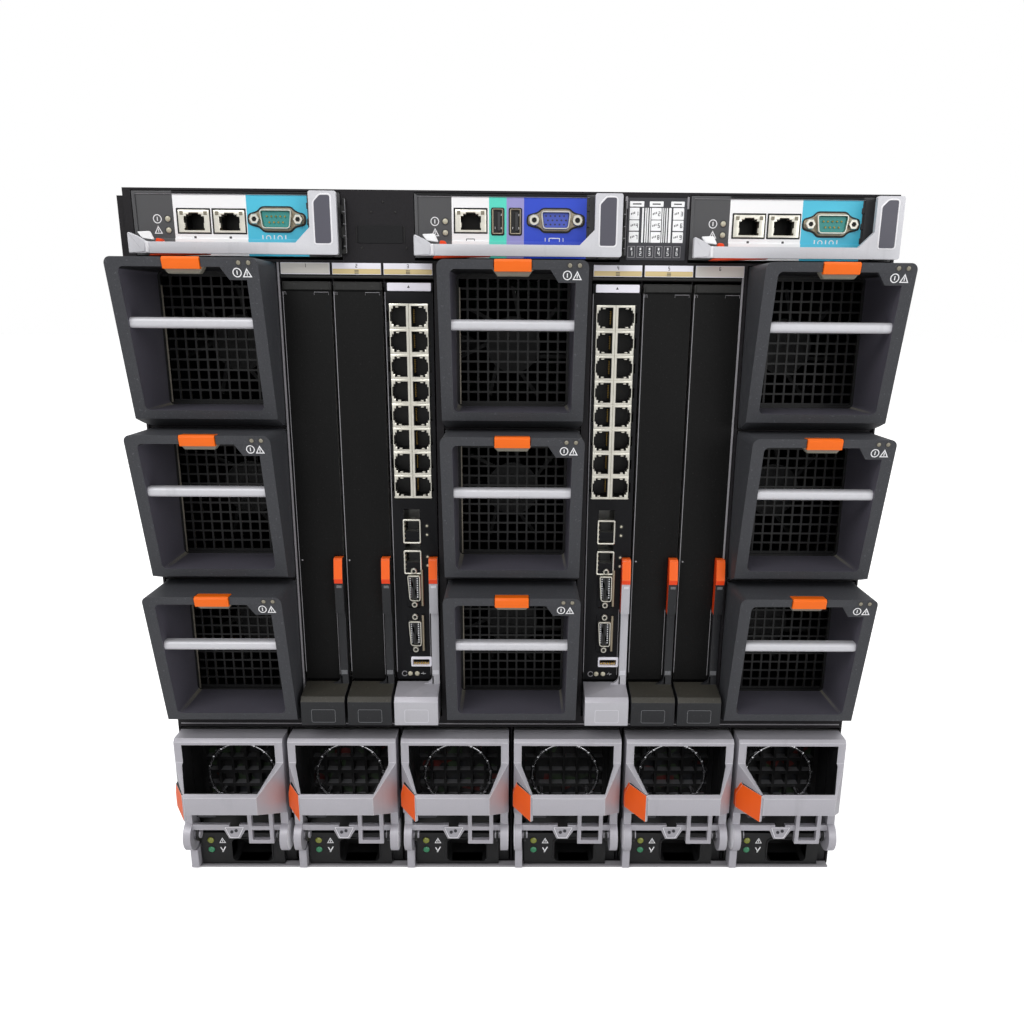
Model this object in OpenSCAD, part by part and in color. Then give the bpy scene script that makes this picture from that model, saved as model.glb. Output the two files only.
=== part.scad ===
// Ten-unit blade server enclosure, seen from its rear: nine fan modules, six
// power supplies, six I/O modules and three management modules in a sheet-metal
// cage. Millimetres. The rear face looks along -Y, +X is to the right seen from
// the rear, +Z is up, and the origin is the centre of the underside.

/* [Enclosure] */
// Length from the rear face to the front face
depth = 754; // [700:1:800]
// Depth of the rear bays, from the rear face to the midplane
rear_bay_d = 262; // [250:1:300]
// Thickness of the outer sheet metal
skin = 1.2; // [1:0.1:1.5]
// Thickness of the inner decks and shelves
deck = 1.5; // [1.2:0.1:2]
// Gap between the long modules' backs and the midplane
module_gap = 12; // [4:1:40]
// Height of the power supply bays, from the underside to the fans
psu_zone_h = 111.5; // [110:0.5:116]
// Height of the management bays, from the fans to the top
mgmt_zone_h = 39; // [39:0.5:44]
// Sliding clearance between a module and its bay, on each side
slide_clear = 0.4; // [0.3:0.05:0.6]

/* [Fan modules] */
// Width of a fan module
fan_w = 83.4; // [80:0.2:88]
// Height of one fan bay
fan_pitch_z = 96.5; // [94:0.5:100]
// How far the shroud's upper edge stands out of the rear face
shroud_out_top = 40; // [36:0.5:46]
// How far the shroud's lower edge stands out of the rear face
shroud_out_low = 19; // [16:0.5:24]
// Rise of the shroud's lower edge above the bay's floor
shroud_lift = 6.8; // [5:0.2:9]
// Width of the shroud's rim at the sides
rim_side = 7; // [6:0.2:9]
// Width of the shroud's rim above and below the opening
rim_level = 5; // [4.5:0.1:7]
// Radius of the shroud's long corners
shroud_r = 4; // [2:0.5:4.5]
// Depth of the grille behind the rear face
grille_y = 20; // [16:0.5:30]
// Spacing of the grille's wires
grille_pitch = 6.2; // [5.5:0.05:8]
// Width of the grille's wires
grille_wire = 1.2; // [0.8:0.1:1.6]
// Height of the pull bar across the opening
bar_h = 6; // [4:0.5:9]
// Length of a fan module behind the rear face
fan_d = 225; // [200:1:240]
// Wall of the fan module's metal tube
tube_wall = 1.2; // [1:0.1:2]
// Width of the release latch
latch_w = 20.5; // [16:0.5:26]
// Travel of the release latch
latch_travel = 2; // [1:0.1:2.4]
// Outer diameter of the fan's rotor
rotor_d = 74; // [66:1:76]

/* [I/O modules] */
// Spacing of the I/O bays
io_pitch = 30; // [29:0.5:33]
// Width of an I/O module
io_w = 28.4; // [27:0.1:28.6]
// Height of the header above the I/O bays, which carries the slot labels
header_h = 9.5; // [9:0.5:12]
// Width of the lever's arm
arm_w = 5; // [4:0.2:6]
// Height of the lever's latch above the deck
arm_top = 110.5; // [104:0.5:116]
// Height of the lever's hand grip
grip_h = 22; // [18:0.5:24]
// How far the lever's hand grip stands out
grip_out = 21; // [18:0.5:24]
// Wall of the lever's hand grip
grip_wall = 2.2; // [1.6:0.2:3]
// Radius of the lever's pin
lever_pin_r = 2.2; // [1.8:0.1:2.6]

/* [Power supplies] */
// Width of a power supply
psu_w = 71; // [69:0.2:73]
// Height of a power supply
psu_h = 101; // [99:0.5:102]
// How far the handle's upper face stands out
grab_out = 16; // [14:0.5:20]
// How far the handle's bottom band stands out
band_out = 40; // [34:0.5:46]
// Width of the handle's bottom band
band_w = 46.5; // [40:0.5:52]
// Height of the handle's bottom band
band_h = 12; // [9:0.5:15]
// Wall of the handle's shell
grab_wall = 4; // [3:0.2:5]
// Height of the handle's pivot above the underside
grab_pivot_z = 28; // [26:0.5:32]
// Radius of the handle's pin
grab_pin_r = 3; // [2:0.1:4]

/* [Management modules] */
// Width of a management module
mgmt_w = 119; // [116:0.5:120]
// Length of a management module behind the rear face
mgmt_d = 200; // [160:1:240]
// How far the handle stands out
mgmt_out = 12.5; // [12:0.5:16]
// Height of the handle's bar
mgmt_bar_h = 6.2; // [5:0.2:8]
// Radius of the handle's pin
mgmt_pin_r = 1.5; // [1.2:0.1:1.8]

/* [Front side] */
// Height of the air intake below the blades
intake_h = 48; // [44:1:60]
// Rim of the front frame round the blade bays
front_rim = 6; // [5:0.5:10]
// Length of a blanking plate's sleeve
blank_d = 60; // [40:1:120]
// How far a rack ear stands out of the case's side
ear_w = 17.7; // [17.4:0.1:18]
// Distance of the rack holes from the ear's outer edge
ear_hole_in = 8.75; // [8.5:0.05:9]
// Width of the control panel
lcd_w = 120; // [100:1:130]

/* [Hidden] */
fan_rows = 3;
io_each_side = 3;
psu_count = 6;
divider = 1.7;
centre_w = 93;
fan_slot_w = fan_w + 2 * slide_clear;
side_col = skin + fan_slot_w + divider;
width = 2 * side_col + 2 * io_each_side * io_pitch + centre_w;
fan_top = psu_zone_h + fan_rows * fan_pitch_z;
height = fan_top + mgmt_zone_h;
rear_y = -depth / 2;
front_y = depth / 2;
fan_x = [-(width / 2 - skin - fan_slot_w / 2), 0, width / 2 - skin - fan_slot_w / 2];
io_x = [for (side = [-1, 1], k = [0 : io_each_side - 1])
    side * centre_w / 2 + side * (side < 0 ? io_each_side - k - 0.5 : k + 0.5) * io_pitch];
psu_pitch = width / psu_count;
psu_x = [for (k = [0 : psu_count - 1]) (k - (psu_count - 1) / 2) * psu_pitch];
io_d = rear_bay_d - module_gap;
psu_d = rear_bay_d - module_gap;
ear_span = width + 2 * ear_w;
rack_holes_x = ear_span - 2 * ear_hole_in;
mgmt_x = [-width / 2 + 5, -57, width / 2 - 2 - mgmt_w];
io_is_switch = [false, false, true, true, false, false];
running = 0.05;
eps = 0.01;

fan_names = [for (k = [1 : 9]) str("fan_", k)];
fan_latch_names = [for (k = [1 : 9]) str("fan_latch_", k)];
io_names = [for (k = [1 : 6]) str(io_is_switch[k - 1] ? "io_switch_" : "io_blank_", k)];
io_lever_names = [for (k = [1 : 6]) str("io_lever_", k)];
psu_names = [for (k = [1 : 6]) str("psu_", k)];
psu_handle_names = [for (k = [1 : 6]) str("psu_handle_", k)];
mgmt_names = ["mgmt_module_left", "kvm_module", "mgmt_module_right"];
mgmt_handle_names = ["mgmt_handle_left", "kvm_handle", "mgmt_handle_right"];

$fn = 48;

// ---------- helpers ----------

// A profile of (y, z) points run from side to side about x = 0
module across(w) {
    translate([-w / 2, 0, 0]) rotate([90, 0, 90]) linear_extrude(w) children();
}

// A flat outline of (x, z) points run backward, towards +Y, from y0
module backward(y0, len) {
    translate([0, y0 + len, 0]) rotate([90, 0, 0]) linear_extrude(len) children();
}

// A rectangle from its lower left corner with round corners, made of exact arcs
module soft_rect(w, h, r) {
    translate([r, 0]) square([w - 2 * r, h]);
    translate([0, r]) square([w, h - 2 * r]);
    for (x = [r, w - r], y = [r, h - r]) translate([x, y]) circle(r);
}

// A box from its low corner to its high corner
module box(low, high) {
    translate(low) cube(high - low);
}

// A cylinder along X from x0 to x1
module rod_x(x0, x1, r) {
    translate([x0, 0, 0]) rotate([0, 90, 0]) cylinder(h = x1 - x0, r = r);
}

// ---------- cage ----------

tab_out = 4.6;
tab_d = 1.5;
module chassis_shell() {
    color("#26272b") translate([-width / 2, rear_y, 0]) {
        cube([width, depth, skin]);
        for (x = [0, width - skin]) translate([x, 0, 0]) cube([skin, depth, height]);
        // bent tab on the left side, behind the left management bay
        translate([-tab_out, 3, fan_top - 1]) cube([tab_out + eps, tab_d, mgmt_zone_h - 3]);
        translate([-tab_out, 3, fan_top - 1]) cube([skin, tab_d + 18, mgmt_zone_h - 3]);
    }
}

module top_cover() {
    color("#2b2c30") translate([-width / 2 + skin, rear_y, height - skin])
        cube([width - 2 * skin, depth, skin]);
}

io_zone_x = [centre_w / 2, centre_w / 2 + io_each_side * io_pitch];
io_floor = psu_zone_h + deck / 2;
io_top = fan_top - header_h;
centre_wall = (centre_w - fan_slot_w) / 2;
rib_in = 10;
rib_h = 4;
lip_d = 3;
psu_wall = 1.2;
rack_unit = 44.45;

// Decks under and over the fan and I/O bays, and the shelves between the fans
module bay_decks() {
    color("#232427") {
        for (z = [psu_zone_h, fan_top]) translate([-width / 2 + skin, rear_y, z - deck / 2])
            cube([width - 2 * skin, rear_bay_d, deck]);
        for (x = fan_x, k = [1 : fan_rows - 1])
            translate([x - fan_slot_w / 2, rear_y + 2, psu_zone_h + k * fan_pitch_z - deck / 2])
                cube([fan_slot_w, rear_bay_d - 2, deck]);
    }
}

// Upright walls between the fan and I/O bays, walls between the power supplies,
// and guide ribs between neighbouring I/O modules on the deck and under the header
module bay_walls() {
    wall_h = io_top + header_h - deck / 2 - io_floor;
    rib = io_pitch - io_w - 2 * slide_clear;
    color("#232427") {
        for (side = [-1, 1]) {
            translate([side * (io_zone_x[0] - centre_wall / 2) - centre_wall / 2, rear_y, io_floor])
                cube([centre_wall, rear_bay_d, wall_h]);
            translate([side * (io_zone_x[1] + divider / 2) - divider / 2, rear_y, io_floor])
                cube([divider, rear_bay_d, wall_h]);
            for (k = [1 : io_each_side - 1])
                translate([side * (io_zone_x[0] + k * io_pitch) - rib / 2, rear_y + rib_in, 0]) {
                    translate([0, 0, io_floor]) cube([rib, rear_bay_d - rib_in, rib_h]);
                    translate([0, -6, io_top - rib_h]) cube([rib, 8, rib_h]);
                }
        }
        for (k = [1 : psu_count - 1]) translate([-width / 2 + k * psu_pitch - psu_wall / 2, rear_y + lip_d, skin])
            cube([psu_wall, rear_bay_d - lip_d, psu_zone_h - deck / 2 - skin]);
    }
}

// Header over the I/O bays, which carries the slot labels, and the lip over the power supplies
module bay_headers() {
    ceiling = psu_z + psu_h + 1.6;
    color("#232427") {
        for (side = [-1, 1])
            translate([side * (io_zone_x[0] + io_zone_x[1]) / 2 - io_each_side * io_pitch / 2, rear_y, io_top])
                cube([io_each_side * io_pitch, 12, header_h - deck / 2]);
        translate([-width / 2 + skin, rear_y, ceiling])
            cube([width - 2 * skin, lip_d, psu_zone_h - deck / 2 - ceiling]);
    }
}

// Boxed walls between the management bays, on the upper deck
module mgmt_cage() {
    low = fan_top + deck / 2;
    inside = width / 2 - skin;
    edges = concat([-inside], [for (x = mgmt_x) each [x - slide_clear, x + mgmt_w + slide_clear]], [inside]);
    color("#2a2b2f") translate([0, rear_y, 0])
        for (k = [0 : 2 : len(edges) - 2]) difference() {
            box([edges[k], 0, low], [edges[k + 1], mgmt_d + 4, height - skin]);
            if (edges[k + 1] - edges[k] > 10)
                box([edges[k] + 1.5, 2, low + deck], [edges[k + 1] - 1.5, mgmt_d + 5, height]);
        }
}

label_lift = 2.2;
label_h = 6.4;

// Label holders on the header, one over each I/O bay
module slot_labels() {
    color("#cfd0cc") for (x = io_x)
        translate([x - io_w / 2, rear_y - 1, io_top + label_lift]) cube([io_w, 1, label_h]);
}

port_rim = 20;

// Board between the rear bays and the blades, open behind each fan for the air
module midplane() {
    color("#2f5a3c") translate([0, rear_y + rear_bay_d, 0]) difference() {
        box([-width / 2 + skin, 0, skin], [width / 2 - skin, 3, height - skin]);
        for (x = psu_x) translate([x - (psu_w - port_rim) / 2, -1, port_rim])
            cube([psu_w - port_rim, 5, psu_h - 2 * port_rim]);
        for (x = fan_x, k = [0 : fan_rows - 1])
            translate([x - (fan_w - port_rim) / 2, -1, psu_zone_h + k * fan_pitch_z + port_rim / 2])
                cube([fan_w - port_rim, 5, fan_pitch_z - port_rim]);
    }
}

// ---------- front side ----------

blade_cols = 8;
blade_rows = 2;
blade_zone = [-width / 2 + skin + front_rim, width / 2 - skin - front_rim];
blade_pitch = (blade_zone[1] - blade_zone[0]) / blade_cols;
blade_z = [intake_h, height - skin - front_rim];
blade_h = (blade_z[1] - blade_z[0]) / blade_rows;
front_d = 20;

// Frame with the intake slots, and the ears with holes at the rack's standard spacing
module front_frame() {
    slot_w = 5;
    slot_pitch = 9;
    slots = floor((width / 2 - 30) / slot_pitch);
    flange = (ear_span - width) / 2;
    color("#26272b") {
        translate([0, front_y - front_d, 0]) difference() {
            box([-width / 2 + skin, 0, skin], [width / 2 - skin, front_d, height - skin]);
            for (c = [0 : blade_cols - 1], r = [0 : blade_rows - 1])
                translate([blade_zone[0] + c * blade_pitch + 0.75, -1, blade_z[0] + r * blade_h + 0.75])
                    cube([blade_pitch - 1.5, front_d + 2, blade_h - 1.5]);
            // air intake slots beside the control panel
            for (k = [0 : slots - 1])
                translate([12 + k * slot_pitch, -1, 10]) cube([slot_w, front_d + 2, intake_h - 18]);
            // pocket of the control panel
            box([-width / 2 + 20 - slide_clear, -1, 8 - slide_clear],
                [-width / 2 + 20 + lcd_w + slide_clear, front_d + 1, intake_h - 6 + slide_clear]);
            // bore of the power button
            translate([-width / 2 + 20 + lcd_w + 20, -1, intake_h / 2])
                rotate([-90, 0, 0]) cylinder(h = front_d + 2, r = 6 + slide_clear);
        }
        for (side = [-1, 1]) difference() {
            union() {
                translate([side * (width + flange) / 2 - flange / 2, front_y - 2, 0]) cube([flange, 2, height]);
                translate([side * (width / 2 + 0.75) - 0.75, front_y - 40, 0]) cube([1.5, 39, height]);
            }
            for (z = [-4.5, -1.5, 1.5, 4.5])
                translate([side * rack_holes_x / 2, front_y - 3, height / 2 + z * rack_unit])
                    rotate([-90, 0, 0]) cylinder(h = 4, r = 3.5);
        }
    }
}

// Blanking plates, each a vented face with a sleeve behind it
module blade_blanks() {
    w = blade_pitch - 1.5 - 2 * slide_clear;
    h = blade_h - 1.5 - 2 * slide_clear;
    color("#1d1e20") for (c = [0 : blade_cols - 1], r = [0 : blade_rows - 1])
        translate([blade_zone[0] + (c + 0.5) * blade_pitch, front_y, blade_z[0] + (r + 0.5) * blade_h])
            difference() {
                box([-w / 2, -blank_d, -h / 2], [w / 2, 1.5, h / 2]);
                box([-w / 2 + 1.5, -blank_d - 1, -h / 2 + 1.5], [w / 2 - 1.5, -1, h / 2 - 1.5]);
                for (k = [-5 : 5]) translate([-w / 2 + 8, -3, k * 13 - 3]) cube([w - 16, 6, 6]);
            }
}

module control_panel() {
    color("#33343a") difference() {
        box([-width / 2 + 20, front_y - 60, 8], [-width / 2 + 20 + lcd_w, front_y + 4, intake_h - 6]);
        box([-width / 2 + 34, front_y + 3, 13], [-width / 2 + 20 + lcd_w * 0.62, front_y + 5, intake_h - 11]);
    }
}

module power_button() {
    color("#8a8d92") translate([-width / 2 + 20 + lcd_w + 20, front_y - 14, intake_h / 2])
        rotate([-90, 0, 0]) cylinder(h = 16, r = 6);
}

// ---------- fan modules ----------

fan_h = fan_pitch_z - deck - 2 * slide_clear;
shroud_top = fan_pitch_z - slide_clear;
bar_z = fan_pitch_z * 0.637;
grille_t = 1.6;
bar_in = 1.6;
bar_deep = 8;
bar_r = bar_h * 0.4;
corner_z = 84.4;
plate_t = 2.5;
rotor_y = 60;
tube_mid_z = fan_pitch_z / 2;

// y of the shroud's sloping front face at height z in the bay
function face_y(z) = -shroud_out_low
    - (shroud_out_top - shroud_out_low) * (z - shroud_lift) / (shroud_top - shroud_lift);

// Shroud, metal tube, grille, pull bar and rotor of one fan module
module fan_body() {
    cave = [fan_w - 2 * rim_side, shroud_top - rim_level - shroud_lift - rim_level];
    tube_x = fan_w / 2 - 0.4;
    tube_z = [deck / 2 + slide_clear, deck / 2 + slide_clear + fan_h];
    // shroud with its round corners and open middle
    difference() {
        intersection() {
            across(fan_w) polygon([[0, slide_clear], [-shroud_out_low, shroud_lift],
                [face_y(shroud_top), shroud_top], [0, shroud_top]]);
            backward(-shroud_out_top - 1, shroud_out_top + 1)
                translate([-fan_w / 2, slide_clear])
                    soft_rect(fan_w, shroud_top - slide_clear, shroud_r);
        }
        backward(-shroud_out_top - 1, shroud_out_top + 2)
            translate([-cave[0] / 2, shroud_lift + rim_level]) soft_rect(cave[0], cave[1], 3);
        // notch of the release latch, open to the middle
        backward(-shroud_out_top - 1, 9 + slide_clear)
            polygon([[-latch_w / 2 + 1, shroud_top - rim_level - 4], [latch_w / 2 - 1, shroud_top - rim_level - 4],
                [latch_w / 2 + slide_clear, shroud_top - rim_level + 1], [latch_w / 2 + slide_clear, shroud_top + 1],
                [-latch_w / 2 - slide_clear, shroud_top + 1],
                [-latch_w / 2 - slide_clear, shroud_top - rim_level + 1]]);
    }
    // corner plate that carries the lamps, flush with the sloping face
    intersection() {
        across(fan_w - 2 * rim_side + 1) polygon([[face_y(corner_z), corner_z], [face_y(corner_z) + plate_t, corner_z],
            [face_y(shroud_top) + plate_t, shroud_top - 1], [face_y(shroud_top) + 0.5, shroud_top - 1]]);
        backward(-shroud_out_top - 1, shroud_out_top)
            polygon([[cave[0] / 2 - 9.4, corner_z - 0.1], [cave[0] / 2 + 0.3, corner_z - 0.1],
                [cave[0] / 2 + 0.3, corner_z + rim_level + 2.2], [cave[0] / 2 - 14.4, corner_z + rim_level + 2.2]]);
    }
    // throat up to the grille, then the thin metal tube round the rotor
    difference() {
        box([-tube_x, -eps, tube_z[0]], [tube_x, fan_d, tube_z[1]]);
        backward(-1, grille_y + 1) translate([-cave[0] / 2, shroud_lift + rim_level])
            soft_rect(cave[0], cave[1], 3);
        box([-tube_x + tube_wall, grille_y + grille_t - eps, tube_z[0] + tube_wall],
            [tube_x - tube_wall, fan_d + 1, tube_z[1] - tube_wall]);
        // meshes of the grille
        backward(grille_y - 1, grille_t + 2) fan_meshes(cave);
    }
    // pull bar, set back from the face and let into both walls
    across(cave[0] + 4) translate([face_y(bar_z) + bar_in, bar_z - bar_h / 2]) soft_rect(bar_deep, bar_h, bar_r);
    // motor bridge behind the rotor
    translate([-tube_x + tube_wall - eps, rotor_y + 32, tube_mid_z - 5])
        cube([2 * (tube_x - tube_wall + eps), 4, 10]);
}

// Square meshes of the grille
module fan_meshes(cave) {
    cols = floor((cave[0] - 1) / grille_pitch);
    rows = floor((cave[1] - 1) / grille_pitch);
    mid_z = shroud_lift + rim_level + cave[1] / 2;
    for (c = [0 : cols - 1], r = [0 : rows - 1])
        translate([(c - (cols - 1) / 2) * grille_pitch - (grille_pitch - grille_wire) / 2,
            mid_z + (r - (rows - 1) / 2) * grille_pitch - (grille_pitch - grille_wire) / 2])
            square(grille_pitch - grille_wire);
}

// Rotor with its hub against the motor bridge
module fan_rotor() {
    translate([0, rotor_y, tube_mid_z]) rotate([-90, 0, 0]) {
        cylinder(h = 31.7, r = 18);
        intersection() {
            translate([0, 0, 4]) cylinder(h = 22, r = rotor_d / 2);
            for (k = [0 : 6]) rotate([0, 0, k * 360 / 7]) translate([0, 0, 15]) rotate([35, 0, 0])
                translate([0, -1, -20]) cube([rotor_d, 2, 40]);
        }
    }
}

module fan(k) {
    color("#3a3b3f") translate([fan_x[k % 3], rear_y, psu_zone_h + (2 - floor(k / 3)) * fan_pitch_z]) {
        fan_body();
        fan_rotor();
    }
}

module fan_latch(k) {
    low = shroud_top - rim_level - 1.2;
    color("#ff7f1a") translate([fan_x[k % 3], rear_y, psu_zone_h + (2 - floor(k / 3)) * fan_pitch_z])
        across(latch_w) polygon([[face_y(low) - 0.8, low], [face_y(shroud_top) - 0.8, shroud_top - 1],
            [face_y(shroud_top) + 0.4, shroud_top + 0.3], [face_y(shroud_top) + 8, shroud_top],
            [face_y(shroud_top) + 8, low + 2], [face_y(low) + 2, low]]);
}

// ---------- I/O modules ----------

io_face_top = io_top - 1.8;
lever_z = io_floor + 11;
lever_y = -1;
lever_open_z = io_floor + 27;
latch_top_z = io_floor + arm_top;

// Face and closed case of one I/O module, cut away for its lever
module io_case() {
    difference() {
        union() {
            box([-io_w / 2, 0, lever_open_z], [io_w / 2, io_d, io_face_top]);
            box([-io_w / 2, 8, io_floor + slide_clear], [io_w / 2, io_d, lever_open_z + eps]);
            // bearing cheeks of the lever's pin
            for (side = [-1, 1]) translate([side * 9.5, lever_y, lever_z]) {
                rod_x(-0.75, 0.75, 4.5);
                translate([-0.75, 0, -4.5]) cube([1.5, 10, 9]);
            }
        }
        // long notch beside the face for the lever's arm
        box([io_w / 2 - arm_w - 0.8, -6, lever_open_z - 6], [io_w / 2 + 1, 2.4, latch_top_z + 0.6]);
        // bore of the lever's pin
        translate([0, lever_y, lever_z]) rod_x(-11, 11, lever_pin_r + running);
        // groove that parts the head band from the plate below it
        box([-io_w / 2 - 1, -1, io_face_top - 5.6], [io_w / 2 + 1, 0.8, io_face_top - 4.8]);
    }
}

// Copper switch: sixteen jacks in two columns, two transceiver cages, two
// stacking sockets and a console socket
jack_pitch = 14.6;
jack_top = 7.5;
module io_ports() {
    for (r = [0 : 7], side = [-1, 1])
        translate([side * 6.5 - 0.4, 0, io_face_top - jack_top - (r + 0.5) * jack_pitch - 4.6]) {
            translate([-4.4, -1, -5.7]) cube([8.8, 13, 11.4]);
            translate([side * 4.8 - 1.6, -1, -3]) cube([3.2, 13, 6]);
        }
    for (z = [127.2, 107]) translate([-6.9, -1, io_floor + z]) cube([10, 31, 14.2]);
    for (z = [76.5, 46]) translate([-5.4, -1, io_floor + z]) cube([7.2, 7, 23]);
    translate([-4, -1, io_floor + 36.6]) cube([12, 9, 5]);
}

module io_module(k) {
    color(io_is_switch[k] ? "#2a2b2e" : "#17181a") translate([io_x[k], rear_y, 0]) difference() {
        io_case();
        if (io_is_switch[k]) io_ports();
    }
}

// Lever with its latch, arm, hand grip and pin
module io_lever(k) {
    color(io_is_switch[k] ? "#b9bac0" : "#1c1d20") translate([io_x[k], rear_y, 0]) {
        grip_top = io_floor + 3.2 + grip_h;
        // hand grip: a bent cap, open below and behind
        difference() {
            across(io_w - 0.4) polygon([[0, lever_z - 1], [-6, io_floor + 3.2], [-grip_out, io_floor + 3.2],
                [-grip_out, grip_top - 6], [-grip_out + 2.5, grip_top - 3.2], [0, grip_top]]);
            across(io_w - 0.4 - 2 * grip_wall) polygon([[1, io_floor], [-grip_out + grip_wall, io_floor],
                [-grip_out + grip_wall, grip_top - 7], [-grip_out + 2 + grip_wall, grip_top - 5.8],
                [1, grip_top - grip_wall - 0.6]]);
        }
        // pin through the bearing cheeks
        translate([0, lever_y, lever_z])
            rod_x(-io_w / 2 + 0.4, io_w / 2 - 0.4, lever_pin_r);
        // arm, thicker where the thumb holds it
        box([io_w / 2 - arm_w, -3, grip_top - 3], [io_w / 2 - 0.2, 0, latch_top_z - 16]);
        box([io_w / 2 - arm_w - 0.6, -6, latch_top_z - 36], [io_w / 2 - 0.2, 0, latch_top_z - 16]);
    }
    io_latch(k);
}

// Latch at the arm's upper end, with a sloping thumb face
module io_latch(k) {
    color("#f2561d") translate([io_x[k] + io_w / 2 - arm_w / 2 - 0.4, rear_y, latch_top_z - 16])
        across(arm_w + 0.4) polygon([[1.6, 0], [-6.6, 0], [-7.4, 3], [-5.4, 15], [-4.4, 16], [1.6, 16]]);
}

// ---------- power supplies ----------

psu_z = skin + 0.6;
grab_y = -8;
grab_low = grab_pivot_z + 19;
band_z = grab_pivot_z + 33;
grab_top = psu_z + psu_h - 0.4;
grab_shoulder = band_z + band_h + 13;

catch_h = 19;
catch_out = 0.6;
catch_slope = 2;
pivot_r = 11;
recess_z = 37.4;
slot_rise = 10.3;

// Case with a vented recess behind the handle and a base with the power inlet
module psu_case() {
    difference() {
        union() {
            box([-psu_w / 2, 1, psu_z], [psu_w / 2, psu_d, psu_z + psu_h]);
            // fixed foot under the handle's left pivot
            box([-psu_w / 2 + 1, -9, psu_z], [-psu_w / 2 + 6, 1 + eps, grab_pivot_z - pivot_r - 1.5]);
            // base block that carries the inlet
            box([-psu_w / 2 + 7, -4, psu_z], [psu_w / 2 - 7, 1 + eps, grab_pivot_z - 2]);
            // bearing ears of the handle's pin
            for (side = [-1, 1]) translate([side * (psu_w / 2 - 7.75), grab_y, grab_pivot_z]) {
                rod_x(-0.75, 0.75, 5);
                translate([-0.75, 0, -5]) cube([1.5, 10, 10]);
            }
        }
        // air recess
        backward(0, 19) translate([-psu_w / 2 + 5, recess_z])
            soft_rect(psu_w - 10, psu_z + psu_h - 4 - recess_z, 2);
        // slots through the recess's back
        for (r = [0 : 4], c = [0 : 5])
            translate([-psu_w / 2 + 8 + c * 9.4, 18, recess_z + 4 + r * slot_rise]) cube([7.6, 7, slot_rise - 2.4]);
        // clearance round the handle's pivot discs
        for (side = [-1, 1]) translate([side * (psu_w / 2 - 2.6) - 3.5, grab_y, grab_pivot_z])
            rod_x(0, 7, pivot_r + 0.6);
        // power inlet
        backward(-5, 23) translate([-7, psu_z + 2.6]) soft_rect(27, 17, 3);
        translate([0, grab_y, grab_pivot_z]) rod_x(-psu_w / 2 + 4, psu_w / 2 - 4, grab_pin_r + running);
    }
}

// Round wire guard over the fan, with the studs that hold it
module psu_guard() {
    translate([0, 10, recess_z + 26.6]) rotate([-90, 0, 0]) {
        rotate_extrude() translate([23, 0]) circle(1);
        for (a = [45 : 90 : 359]) rotate([0, 0, a]) translate([23, 0, 0]) cylinder(h = 15.5, r = 1.6);
    }
}

module psu(k) {
    color("#1b1c1e") translate([psu_x[k], rear_y, 0]) {
        psu_case();
        psu_guard();
    }
}

// Folding handle: a hollow scoop whose bottom band the fingers hook over,
// with two legs that turn on the pin
module psu_handle(k) {
    half = psu_w / 2;
    inner = grab_wall + 1;
    color("#a9a7ad") translate([psu_x[k], rear_y, 0]) {
        difference() {
            intersection() {
                across(psu_w) polygon([[0, grab_low], [-12, grab_low], [-band_out, band_z],
                    [-band_out, band_z + band_h], [-grab_out, grab_shoulder], [-grab_out, grab_top - 2],
                    [-grab_out + 2, grab_top], [0, grab_top]]);
                translate([0, 0, grab_low]) linear_extrude(grab_top - grab_low)
                    polygon([[-half, 0], [-half, -grab_out], [-band_w / 2, -band_out],
                        [band_w / 2, -band_out], [half, -grab_out], [half, 0]]);
            }
            intersection() {
                across(psu_w - 2 * inner) polygon([[1, grab_low + grab_wall], [-12, grab_low + grab_wall],
                    [-band_out + grab_wall, band_z + 2], [-band_out + grab_wall, band_z + band_h + 1.5],
                    [-band_out - 1, band_z + band_h + 1.5], [-band_out - 1, grab_top - grab_wall],
                    [1, grab_top - grab_wall]]);
                translate([0, 0, grab_low]) linear_extrude(grab_top - grab_low)
                    polygon([[-half + inner, 1], [-half + inner, -grab_out - 2],
                        [-band_w / 2 + 2, -band_out - 3], [band_w / 2 - 2, -band_out - 3],
                        [half - inner, -grab_out - 2], [half - inner, 1]]);
            }
        }
        // legs with round ends on the pin
        for (side = [-1, 1]) translate([side * (half - 3) - 2.5, 0, 0]) {
            box([0, -12, grab_pivot_z], [5, -3, grab_low + eps]);
            translate([0, grab_y, grab_pivot_z]) rod_x(0, 5, pivot_r);
        }
        translate([0, grab_y, grab_pivot_z]) for (side = [-1, 1])
            rod_x(side > 0 ? half - 9.5 : -half + 0.5, side > 0 ? half - 0.5 : -half + 9.5, grab_pin_r);
        // cross bar with a dip for the cord's strap, and the cord clip's frame
        backward(-12, 3) difference() {
            union() {
                translate([-half + 4, grab_pivot_z + 5]) square([psu_w - 8, 4]);
                polygon([[-9.5, grab_pivot_z + 6], [-6, grab_pivot_z - 1.4], [1.5, grab_pivot_z - 1.4],
                    [6, grab_pivot_z + 6]]);
            }
            translate([-5.5, grab_pivot_z + 6]) square([7, 4]);
        }
        backward(-14, 4) difference() {
            translate([8, grab_pivot_z - 4]) square([17, grab_low - grab_pivot_z + 5]);
            translate([10.5, grab_pivot_z - 1.5]) square([12, 8]);
            translate([10.5, grab_pivot_z + 9]) square([12, grab_low - grab_pivot_z - 9]);
        }
    }
    psu_catch(k);
}

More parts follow.
